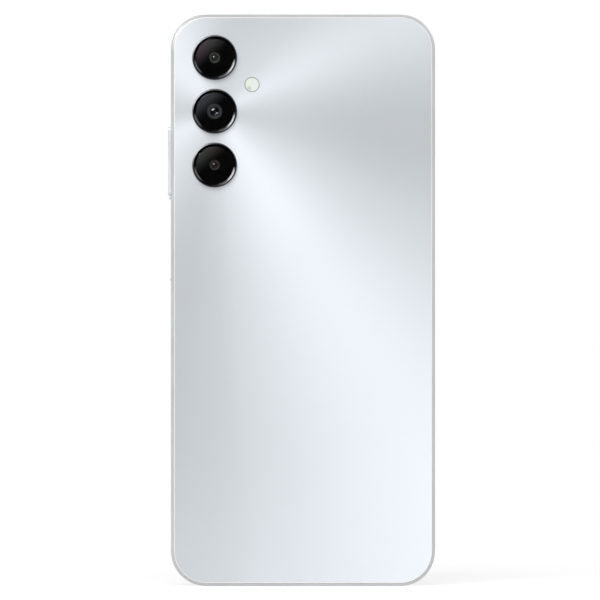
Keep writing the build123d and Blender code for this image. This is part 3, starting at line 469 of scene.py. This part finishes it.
def screen_glass():
    """Cover glass bonded to the display, inked black round it and clear over the front camera."""
    material, nodes = new_material("screen_glass")
    hole = nodes.math("LESS_THAN", distance_from(nodes, FRONT_CAMERA), FRONT_CAMERA_HOLE)
    smear = nodes.noise(60, 4)
    roughness = nodes.ramp(smear, *SCREEN_SMEAR)
    colour = nodes.blend(active_area(nodes), BORDER_BLACK, panel_colour(nodes))
    bonded = nodes.add("BsdfPrincipled", base_color=colour, roughness=roughness)
    through = nodes.add("BsdfTransparent", color=CLEAR_GLASS)
    mirror = nodes.add("BsdfGlossy", roughness=roughness)
    glass = nodes.add("MixShader", nodes.fresnel(), through, mirror)
    nodes.finish(nodes.add("MixShader", hole, bonded, glass))
    return material


def screen_panel():
    """The display under the glass."""
    material, nodes = new_material("screen_panel")
    nodes.finish(nodes.add("BsdfPrincipled", base_color=panel_colour(nodes), roughness=0.3))
    return material


# ------------------------------------------------------------------ camera looks
CAMERA_BODY = {
    "upper": "macro_camera_module", "main": "main_camera_barrel", "lower": "depth_camera_module",
}
CAMERA_LENS = {"upper": "macro_camera_lens", "main": "main_camera_lens", "lower": "depth_camera_lens"}
# Radii of each camera's lens opening and of the grey face round it
PUPIL = {"upper": 0.95 * MM, "main": 1.5 * MM, "lower": 0.95 * MM}
BAFFLE = {"upper": 1.55 * MM, "main": 2.2 * MM, "lower": 1.45 * MM}
BAFFLE_COLOUR = {
    "upper": (0.070, 0.090, 0.070), "main": (0.060, 0.070, 0.070), "lower": (0.095, 0.065, 0.060),
}
BARREL_BLACK = (0.004, 0.004, 0.004)
# Radius at which a camera ring's outer wall starts, and how far its finish takes to change there
RING_CREST, WALL_FADE = 6.12 * MM, 0.1 * MM
RING_DARK, RING_LIGHT = (0.12, 0.12, 0.125), (0.15, 0.15, 0.155)
RING_ROUGHNESS = (0.10, 0.14)
RING_WALL, RING_WALL_ROUGHNESS = (0.21, 0.21, 0.22), 0.30
WINDOW_TINT = (0.86, 0.86, 0.87)
WINDOW_SMEAR = (0.4, 0.8, 0.02, 0.06)  # two levels of the smears' noise, and the roughness at each
# The coating's colours left and right, and where they start and stop to change, from a window's middle
COATING_FADE = (-5 * MM, 1 * MM)
REFLECTION = {
    "upper": ((1.0, 0.72, 0.88), (0.86, 0.90, 0.84)),
    "main": ((0.72, 0.82, 1.0), (0.80, 0.88, 0.92)),
    "lower": ((0.72, 0.86, 0.78), (0.95, 0.80, 0.76)),
}
LENS_EDGE_GAIN = 4.0  # how much more a lens coating reflects where the surface turns away
LENS_TURN = (0.01, 0.07)  # Layer Weight's facing value where that gain starts and is full
LENS_IOR = 1.6
LENS_BLOOM = 0.06  # how much rougher a lens is where it has bloomed


def ring_metal(place):
    """Dark polished metal with faint turning marks, and a lighter satin wall outside the crest."""
    material, nodes = new_material(f"ring_metal_{place}")
    marks = nodes.noise(5000, 2)
    radius = distance_from(nodes, centre_of(f"camera_ring_{place}"))
    wall = nodes.ramp(radius, RING_CREST, RING_CREST + WALL_FADE)
    polished = nodes.blend(nodes.vary(marks), RING_DARK, RING_LIGHT)
    nodes.finish(nodes.add(
        "BsdfPrincipled", metallic=1.0, base_color=nodes.blend(wall, polished, RING_WALL),
        roughness=nodes.pick(wall, nodes.vary(marks, *RING_ROUGHNESS), RING_WALL_ROUGHNESS),
    ))
    return material


def camera_glass(place):
    """Dark camera glass: straight through, with a coated mirror that grows at glancing angles."""
    material, nodes = new_material(f"window_glass_{place}")
    smear = nodes.noise(220, 3)
    through = nodes.add("BsdfTransparent", color=WINDOW_TINT)
    left, right = REFLECTION[place]
    across = nodes.split(nodes.place())["X"]
    start, end = (centre_of(f"camera_window_{place}").x + offset for offset in COATING_FADE)
    coating = nodes.blend(nodes.ramp(across, start, end), left, right)
    mirror = nodes.add("BsdfGlossy", color=coating, roughness=nodes.ramp(smear, *WINDOW_SMEAR))
    nodes.finish(nodes.add("MixShader", nodes.fresnel(), through, mirror))
    return material


def barrel_material(place):
    """Black camera barrel with a satin grey face round its pupil."""
    material, nodes = new_material(f"barrel_{place}")
    radius = distance_from(nodes, centre_of(f"camera_window_{place}"))
    face = nodes.math("LESS_THAN", radius, BAFFLE[place])
    texture = nodes.noise(8000, 2)
    nodes.finish(nodes.add(
        "BsdfPrincipled", base_color=nodes.blend(face, BARREL_BLACK, BAFFLE_COLOUR[place]),
        roughness=0.45, normal=nodes.bump(texture, 0.004 * MM, 0.5),
    ))
    return material


def lens_coating(name, tint, gloss, head_on, blur):
    """Coated lens surface, mostly clear. head_on scales its reflection where it faces the eye."""
    material, nodes = new_material(name)
    through = nodes.add("BsdfTransparent", color=tint)
    bloom = nodes.noise(700, 2)
    roughness = nodes.vary(bloom, blur, blur + LENS_BLOOM)
    mirror = nodes.add("BsdfGlossy", color=gloss, roughness=roughness)
    turned = nodes.add("LayerWeight", blend=0.5, get="Facing")
    gain = nodes.ramp(turned, *LENS_TURN, head_on, LENS_EDGE_GAIN)
    coated = nodes.math("MULTIPLY", nodes.fresnel(LENS_IOR), gain)
    nodes.finish(nodes.add("MixShader", coated, through, mirror))
    return material


def dark_bowl(name, colour, ior):
    """The last, concave lens surface over the dark sensor."""
    material, nodes = new_material(name)
    bloom = nodes.noise(900, 2)
    nodes.finish(nodes.add(
        "BsdfPrincipled", base_color=nodes.blend(bloom, shade(colour, 0.6), colour), roughness=0.16,
        ior=ior, specular_ior_level=1.0, coat_weight=0.5, coat_roughness=0.08,
    ))
    return material


# ------------------------------------------------------------------ turned pieces
SEGMENTS = 128
SHARP_ANGLE = math.radians(35)
LOOSE_FIT = 0.02 * MM  # gap that keeps touching pieces from sharing a surface


def lathe(name, profile, axis_at, body, material):
    """A piece turned about a line along Y, from a profile of radius and depth pairs.

    Its faces look outwards when the profile goes from the +Y side round the outside to the -Y side.
    """
    vertices, faces, rings = [], [], []
    for radius, y in profile:
        count = SEGMENTS if radius > 0 else 1
        rings.append(range(len(vertices), len(vertices) + count))
        for i in range(count):
            turn = math.tau * i / SEGMENTS
            x, z = axis_at.x + radius * math.cos(turn), axis_at.z + radius * math.sin(turn)
            vertices.append((x, y, z))
    for first, second in zip(rings, rings[1:]):
        for i in range(SEGMENTS):
            following = (i + 1) % SEGMENTS
            corners = [
                first[i % len(first)], first[following % len(first)],
                second[following % len(second)], second[i % len(second)],
            ]
            corners = list(dict.fromkeys(corners))  # at a pole, two corners are one
            if len(corners) > 2:
                faces.append(corners)
    mesh = bpy.data.meshes.new(name)
    mesh.from_pydata(vertices, [], faces)
    mesh.validate()
    piece = bpy.data.objects.new(name, mesh)
    bpy.context.scene.collection.objects.link(piece)
    mesh.shade_smooth()
    mesh.set_sharp_from_angle(angle=SHARP_ANGLE)
    mesh.materials.append(material)
    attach(piece, body)
    return piece


def dome(radius, sag, base_y, steps=14, bulge=-1):
    """Profile points of a spherical cap from its rim to its middle; bulge -1 rises towards the rear."""
    ball = (radius**2 + sag**2) / (2 * sag)
    points = []
    for i in range(steps + 1):
        r = radius * math.cos(math.pi / 2 * i / steps)
        height = math.sqrt(max(ball**2 - r**2, 0)) - (ball - sag)
        points.append((r if i < steps else 0, base_y + bulge * height))
    return points


RING_SEAT, RING_STUB = 4.9 * MM, 5.95 * MM  # bore behind the window, and neck through the rear cover
CREST_STEP = 0.05 * MM
BEVEL_DROP = 0.15 * MM  # how far below the window's top the ring's bevel ends
SHOULDER_STEPS = 12


def add_ring(place):
    """Camera ring with a rounded outer shoulder, a narrow crest and a bevel down to the window."""
    node, window = f"camera_ring_{place}", f"camera_window_{place}"
    low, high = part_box(node)
    window_top, inner_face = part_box(window)[0].y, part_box(window)[1].y
    outer, bore = half_width(node), half_width(window) + LOOSE_FIT
    shoulder = outer - RING_CREST
    profile = [(RING_SEAT, high.y), (RING_STUB, high.y), (RING_STUB, PANEL_Y), (outer, PANEL_Y)]
    for i in range(SHOULDER_STEPS + 1):
        turn = math.pi / 2 * i / SHOULDER_STEPS
        radius = RING_CREST + shoulder * math.cos(turn)
        profile.append((radius, low.y + shoulder * (1 - math.sin(turn))))
    profile += [
        (RING_CREST - CREST_STEP, low.y + 0.2 * CREST_STEP),
        (RING_CREST - 2 * CREST_STEP, low.y + CREST_STEP),
        (bore, window_top + BEVEL_DROP),
        (bore, inner_face),
        (RING_SEAT, inner_face),
        (RING_SEAT, high.y),
    ]
    piece = lathe(f"ring_{place}", profile, centre_of(node), body_of(node), ring_metal(place))
    piece.visible_diffuse = False  # the sun alone shades the cover round a ring
    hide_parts(node)


WINDOW_CROWN = 0.12 * MM
WINDOW_EDGE = 0.04 * MM  # softened edge round the window's face


def add_window(place):
    """Slightly crowned glass in a camera ring, in place of the flat CAD disc."""
    node = f"camera_window_{place}"
    low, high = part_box(node)
    radius = half_width(node)
    face, back = low.y + WINDOW_CROWN, high.y - LOOSE_FIT
    cut = 0.3 * WINDOW_EDGE  # what a rounded corner takes off at its middle
    profile = [(0, back), (radius, back), (radius, face + WINDOW_EDGE), (radius - cut, face + cut)]
    profile += dome(radius - WINDOW_EDGE, WINDOW_CROWN, face)
    piece = lathe(f"window_{place}", profile, centre_of(node), body_of(node), camera_glass(place))
    piece.visible_diffuse = False  # as the rings
    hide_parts(node)


TRIM_RADIUS, TRIM_HALF_WIDTH = 2.10 * MM, 0.14 * MM
TRIM_PROUD, TRIM_DEPTH = 0.05 * MM, 0.1 * MM
TRIM_STEPS = 8


def add_flash_rim(finish):
    """Thin rounded trim where the flash lens meets the cover, a real raised piece whose grey also stands in
    for painted shade in the gap round the lens.
    """
    node = "flash_lens"
    foot = PANEL_Y + TRIM_DEPTH
    profile = [(TRIM_RADIUS + TRIM_HALF_WIDTH, foot)]
    for i in range(TRIM_STEPS + 1):
        turn = math.pi * i / TRIM_STEPS
        radius = TRIM_RADIUS + TRIM_HALF_WIDTH * math.cos(turn)
        profile.append((radius, PANEL_Y - TRIM_PROUD * math.sin(turn)))
    profile += [(TRIM_RADIUS - TRIM_HALF_WIDTH, foot), profile[0]]
    piece = lathe("flash_rim", profile, centre_of(node), body_of(node), finish)


INK_RIM = 5.45 * MM
INK_CLEAR = 0.12 * MM  # how far the printed ring's hole stays outside the camera's grey face
INK_FRONT, INK_BACK = 0.016 * MM, 0.004 * MM  # how deep both sides of the print lie in the glass


def add_mask(place, ink):
    """Black printed ring on the inside of a camera's glass."""
    window = f"camera_window_{place}"
    inner_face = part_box(window)[1].y
    hole, rim = BAFFLE[place] + INK_CLEAR, INK_RIM
    front, back = inner_face - INK_FRONT, inner_face - INK_BACK
    profile = [(hole, back), (rim, back), (rim, front), (hole, front), (hole, back)]
    piece = lathe(f"window_ink_{place}", profile, centre_of(window), body_of(window), ink)


LENS_FILL = 0.95  # share of the opening or the CAD element that a lens fills
LENS_CURVE, BOWL_HOLLOW = 0.45, 0.42  # height and hollow, as shares of a lens's radius
BOWL_GAP, BOWL_WALL = 0.05 * MM, 0.1 * MM


def add_lens(name, node, widest, coating, bowl, faces_rear=True):
    """A domed outer element over a dark bowl, in place of the plain CAD element."""
    low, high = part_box(node)
    outward = -1 if faces_rear else 1
    apex_y = low.y if faces_rear else high.y
    radius = min(widest, half_width(node)) * LENS_FILL
    curve, hollow = radius * LENS_CURVE, radius * BOWL_HOLLOW
    rim_y = apex_y - outward * curve
    bowl_rim = rim_y - outward * BOWL_GAP
    bowl_back = bowl_rim - outward * (hollow + BOWL_WALL)
    front = [(0, rim_y), *dome(radius, curve, rim_y, bulge=outward)]
    back = [(0, bowl_back), (radius, bowl_back), *dome(radius, hollow, bowl_rim, bulge=-outward)]
    if not faces_rear:
        front.reverse()
        back.reverse()
    centre, body = centre_of(node), body_of(node)
    outer = lathe(f"lens_{name}", front, centre, body, coating)
    inner = lathe(f"lens_bowl_{name}", back, centre, body, bowl)
    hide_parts(node)


# ------------------------------------------------------------------ charging port's contacts
# A box's six faces by corner number: 4 for high X, 2 for high Y and 1 for high Z, added up
BOX_FACES = ((0, 1, 3, 2), (4, 6, 7, 5), (0, 4, 5, 1), (2, 3, 7, 6), (0, 2, 6, 4), (1, 5, 7, 3))
BAR_ROUNDING = 0.3  # as a share of a bar's smallest side
CONTACTS = 12
CONTACT_PITCH, CONTACT_HALF_WIDTH, CONTACT_PROUD = 0.5 * MM, 0.14 * MM, 0.02 * MM
CONTACT_START, CONTACT_END = 0.7 * MM, 4.4 * MM  # above the tongue's root
TONGUE_HALF_THICKNESS = 0.35 * MM


def add_bars(name, boxes, body, material):
    """Several small softened bars as one piece: each box is its low and high corner."""
    vertices, faces = [], []
    for low, high in boxes:
        start = len(vertices)
        vertices += itertools.product(*zip(low, high))
        faces += [[start + i for i in corners] for corners in BOX_FACES]
    mesh = bpy.data.meshes.new(name)
    mesh.from_pydata(vertices, [], faces)
    piece = bpy.data.objects.new(name, mesh)
    bpy.context.scene.collection.objects.link(piece)
    smallest = min(abs(a - b) for low, high in boxes for a, b in zip(low, high))
    rounding = piece.modifiers.new("soften", "BEVEL")
    rounding.width = smallest * BAR_ROUNDING
    rounding.segments = 2
    mesh.materials.append(material)
    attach(piece, body)


def add_usb_contacts(gold):
    """A row of flat contacts on each side of the charging port's tongue."""
    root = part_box("usb_tongue")[0].z
    middle = centre_of("usb_tongue")
    boxes = []
    for i in range(CONTACTS):
        x = middle.x + (i - (CONTACTS - 1) / 2) * CONTACT_PITCH
        left, right = x - CONTACT_HALF_WIDTH, x + CONTACT_HALF_WIDTH
        for side in (-1, 1):
            foot = middle.y + side * TONGUE_HALF_THICKNESS
            near, far = sorted((foot, foot + side * CONTACT_PROUD))
            boxes.append(((left, near, root + CONTACT_START), (right, far, root + CONTACT_END)))
    add_bars("usb_contacts", boxes, body_of("usb_tongue"), gold)


# ------------------------------------------------------------------ materials of all CAD nodes
FRAME_SILVER = (0.65, 0.67, 0.68)
KEY_SILVER = (0.80, 0.82, 0.83)
gold_plate = metal("gold_plate", (0.80, 0.58, 0.25), roughness=0.22)
main_lens = lens_coating(
    "lens_coating", tint=(0.85, 0.86, 0.88), gloss=(0.85, 0.92, 1.0), head_on=0.15, blur=0.10,
)
FINISHES = {
    "frame_silver": frame_paint("frame_paint", FRAME_SILVER),
    "cover_silver": cover_material(),
    "ring_dark": ring_metal("main"),
    "window_glass": camera_glass("main"),
    "flash_diffuser": flash_diffuser(),
    "led_yellow": plastic("led_phosphor", (0.86, 0.74, 0.22), roughness=0.5, grain=3000),
    "lens_coated": main_lens,
    "black_plastic": plastic("black_plastic", (0.018, 0.018, 0.020), roughness=0.5),
    "cover_glass": screen_glass(),
    "panel_black": screen_panel(),
    "backlight_white": plastic("backlight_sheet", (0.78, 0.78, 0.76), roughness=0.5, grain=4000),
    "alloy": metal("cast_alloy", (0.60, 0.61, 0.62), roughness=0.42, squeeze=(1, 1, 1), scale=1500),
    "steel": metal("bright_steel", (0.62, 0.62, 0.63), roughness=0.22),
    "can_metal": metal("tinned_sheet", (0.68, 0.68, 0.66), roughness=0.32, squeeze=(12, 1, 1)),
    "copper_alloy": gold_plate,
    "adhesive_black": plastic("foam_tape", (0.012, 0.012, 0.012), roughness=0.9, grain=3000, depth=0.05),
    "flex_amber": plastic("polyimide", (0.45, 0.20, 0.04), roughness=0.35, grain=2500),
    "flex_black": plastic("coverlay", (0.02, 0.02, 0.022), roughness=0.45, grain=2500),
    "board_green": board_mask("solder_mask", (0.010, 0.11, 0.06)),
    "chip_black": plastic("chip_mould", (0.03, 0.03, 0.032), roughness=0.6, grain=9000, depth=0.02),
    "battery_wrap": foil_wrap("battery_wrap", (0.10, 0.10, 0.11)),
    "battery_board_black": plastic("board_tape", (0.02, 0.02, 0.02), roughness=0.6, grain=3000),
    "magnet_grey": metal("nickel_plate", (0.45, 0.45, 0.46), roughness=0.3),
    "tungsten": metal("sintered_weight", (0.30, 0.30, 0.32), roughness=0.45, squeeze=(1, 1, 1), scale=3000),
    "diaphragm_film": plastic("diaphragm_film", (0.16, 0.16, 0.17), roughness=0.3, grain=1500),
    "mesh_metal": woven_mesh("acoustic_mesh", (0.14, 0.14, 0.15)),
    "sensor_silicon": plastic("sensor_silicon", (0.06, 0.08, 0.11), roughness=0.15, grain=5000),
    "sensor_coat": frame_paint("sensor_coat", (0.50, 0.515, 0.525)),
}


def paint(node, material):
    """Gives a CAD node one material."""
    slots = NODES[node].data.materials
    slots.clear()
    slots.append(material)


for name in NODES:
    paint(name, FINISHES[SLOT_OF[name]])
for place in CAMERAS:
    paint(CAMERA_BODY[place], barrel_material(place))
paint("volume_key", frame_paint("volume_key_paint", KEY_SILVER))

window_ink = plastic("window_ink", (0.0015, 0.0015, 0.0016), roughness=0.7, specular=0.05)
main_bowl = dark_bowl("main_bowl", (0.010, 0.011, 0.013), ior=2.1)
small_bowl = dark_bowl("small_bowl", (0.004, 0.005, 0.004), ior=1.3)
small_lens = lens_coating(
    "small_lens_coating", tint=(0.85, 0.86, 0.84), gloss=(0.85, 1.0, 0.88), head_on=1.4, blur=0.04,
)
for place in CAMERAS:
    add_ring(place)
    add_window(place)
    add_mask(place, window_ink)
add_lens("main", CAMERA_LENS["main"], PUPIL["main"], main_lens, main_bowl)
for place in ("upper", "lower"):
    add_lens(place, CAMERA_LENS[place], PUPIL[place], small_lens, small_bowl)
add_lens("front", "front_camera_lens", FRONT_CAMERA_HOLE, small_lens, main_bowl, faces_rear=False)
# The trim's grey also stands in for painted shade in the gap round the flash lens
add_flash_rim(plastic("flash_rim", (0.33, 0.34, 0.34), roughness=0.35))
add_usb_contacts(gold_plate)


# ------------------------------------------------------------------ studio
# Softboxes that mirror-like surfaces see: direction, long axis, half length, half breadth, brightness.
# Directions needn't be unit vectors, and a half size is the sine of the angle it spans.
SOFTBOXES = [
    ((-0.86, -0.12, 0.50), (0.50, 0, 0.86), 0.42, 0.20, 6.0),
    ((-0.47, -0.12, 0.88), (0.88, 0, 0.47), 0.36, 0.16, 0.8),
    ((0.86, -0.12, 0.50), (-0.50, 0, 0.86), 0.42, 0.18, 0.9),
    ((-0.39, -0.62, 0.68), (0.87, 0, 0.50), 0.62, 0.33, 1.15),
    ((-0.54, -0.64, 0.54), (1, 0, 1), 0.40, 0.32, 7.5),
    ((-0.16, -0.97, 0.19), (0.77, 0, 0.64), 0.14, 0.22, 2.0),
    ((0.25, 0.85, 0.45), (1, 0, -0.2), 0.60, 0.28, 1.5),
    ((-0.85, 0.50, 0.10), (0, 0, 1), 0.75, 0.22, 0.6),
    ((0.16, 0.97, 0.18), (-0.73, 0, 0.68), 0.80, 0.25, 1.3),
]
SOFTBOX_CORE = 0.45  # share of a softbox that is at full brightness
# The rest of what mirrors see is dark at the camera's side and grey behind the phone, and dims downwards
DARK_LEVEL, BACKDROP_LEVEL = 0.015, 0.35
BACKDROP_START, BACKDROP_FULL = 0.0, 0.35
DIM_SHARE, DIM_LOW, DIM_HIGH = 0.35, -0.5, 0.8
# Light on matt surfaces: even, more towards +Y and -Y, and tilted along a direction
EVEN_LIGHT, FACING_LIGHT = 0.42, 0.50
LIGHT_TILT = (0.26, -0.03, -0.38)
SUN_DIRECTION, SUN_ANGLE, SUN_STRENGTH = Vector((-0.16, -0.72, 0.67)), math.radians(40), 2.0


def softbox(nodes, towards, aim, long_axis, half_length, half_breadth):
    """1 inside a soft-edged rectangle on the sky, 0 outside."""
    aim = Vector(aim).normalized()
    long_axis = Vector(long_axis)
    side = (long_axis - aim * aim.dot(long_axis)).normalized()
    inside = nodes.math("GREATER_THAN", nodes.dot(towards, aim), 0)
    for axis, reach in ((side, half_length), (aim.cross(side), half_breadth)):
        offset = nodes.math("ABSOLUTE", nodes.dot(towards, axis))
        inside = nodes.math("MULTIPLY", inside, nodes.ramp(offset, reach * SOFTBOX_CORE, reach, 1, 0))
    return inside


def studio_world():
    """White to the camera, softboxes to mirrors, and a soft, slightly tilted glow to everything else."""
    world = bpy.data.worlds.new("studio")
    bpy.context.scene.world = world
    world.use_nodes = True
    world.cycles.sampling_method = "NONE"  # its level depends on the kind of ray
    nodes = Nodes(world.node_tree)
    towards = nodes.add("TexCoord", get="Generated")
    sky = nodes.split(towards)
    depth, height = sky["Y"], sky["Z"]
    mirror = nodes.ramp(depth, BACKDROP_START, BACKDROP_FULL, DARK_LEVEL, BACKDROP_LEVEL)
    mirror = nodes.math("MULTIPLY", mirror, nodes.ramp(height, DIM_LOW, DIM_HIGH, DIM_SHARE, 1.0))
    for *shape, brightness in SOFTBOXES:
        patch = softbox(nodes, towards, *shape)
        mirror = nodes.math("ADD", mirror, nodes.math("MULTIPLY", patch, brightness))
    facing = nodes.math("MULTIPLY", nodes.math("MULTIPLY", depth, depth), FACING_LIGHT)
    tilted = nodes.math("ADD", nodes.dot(towards, LIGHT_TILT), EVEN_LIGHT)
    even = nodes.math("ADD", tilted, facing)
    path = nodes.add("LightPath").node
    level = nodes.pick(path.outputs["Is Glossy Ray"], even, mirror)
    level = nodes.pick(path.outputs["Is Camera Ray"], level, 1.0)
    background = nodes.add("Background", color=(1, 1, 1), strength=level)
    output = world.node_tree.nodes.new("ShaderNodeOutputWorld")
    world.node_tree.links.new(background, output.inputs["Surface"])


FLOOR_HALF = 2.0
FLOOR_GLOW = 0.80
PAPER_DARK, PAPER_LIGHT = (0.30, 0.30, 0.30), (0.32, 0.32, 0.32)


def floor():
    """Pale floor that almost vanishes into the backdrop and keeps a faint contact shadow."""
    corners = [(-1, -1), (1, -1), (1, 1), (-1, 1)]
    mesh = bpy.data.meshes.new("floor")
    mesh.from_pydata([(x * FLOOR_HALF, y * FLOOR_HALF, 0) for x, y in corners], [], [range(4)])
    plane = bpy.data.objects.new("floor", mesh)
    plane.location.z = cad_low.z - LOOSE_FIT
    bpy.context.scene.collection.objects.link(plane)
    material, nodes = new_material("floor_paper")
    paper = nodes.add("BsdfDiffuse", color=nodes.blend(nodes.noise(300, 3), PAPER_DARK, PAPER_LIGHT))
    glow = nodes.add("Emission", color=(1, 1, 1), strength=FLOOR_GLOW)
    nodes.finish(nodes.add("AddShader", paper, glow))
    mesh.materials.append(material)
    plane.visible_glossy = False


def sun():
    """Soft light from far off, unseen in mirrors, which gives each raised rim its shadow."""
    data = bpy.data.lights.new("sun", "SUN")
    data.angle, data.energy = SUN_ANGLE, SUN_STRENGTH
    light = bpy.data.objects.new("sun", data)
    light.rotation_euler = (-SUN_DIRECTION).to_track_quat("-Z", "Y").to_euler()
    light.visible_glossy = False
    bpy.context.scene.collection.objects.link(light)


PICTURE_WIDTH = 175.56 * MM  # what the picture spans at the phone
LENS, SENSOR = 500.0, 36.0
VIEW_OFFSET_X = -0.91 * MM
VIEW_HEIGHT = 83.68 * MM
OUTLINE_Y = PANEL_Y + 1.7 * MM  # depth at which the rear view's outline lies


def camera():
    """Long lens, square on to the rear cover."""
    data = bpy.data.cameras.new("view")
    data.lens, data.sensor_width = LENS, SENSOR
    data.clip_start, data.clip_end = 0.05, 10
    view = bpy.data.objects.new("view", data)
    distance = PICTURE_WIDTH * LENS / SENSOR
    view.location = (VIEW_OFFSET_X, OUTLINE_Y - distance, VIEW_HEIGHT)
    view.rotation_euler = (math.pi / 2, 0, 0)
    bpy.context.scene.collection.objects.link(view)
    bpy.context.scene.camera = view


studio_world()
floor()
sun()
camera()
bpy.context.scene.view_settings.view_transform = "Standard"
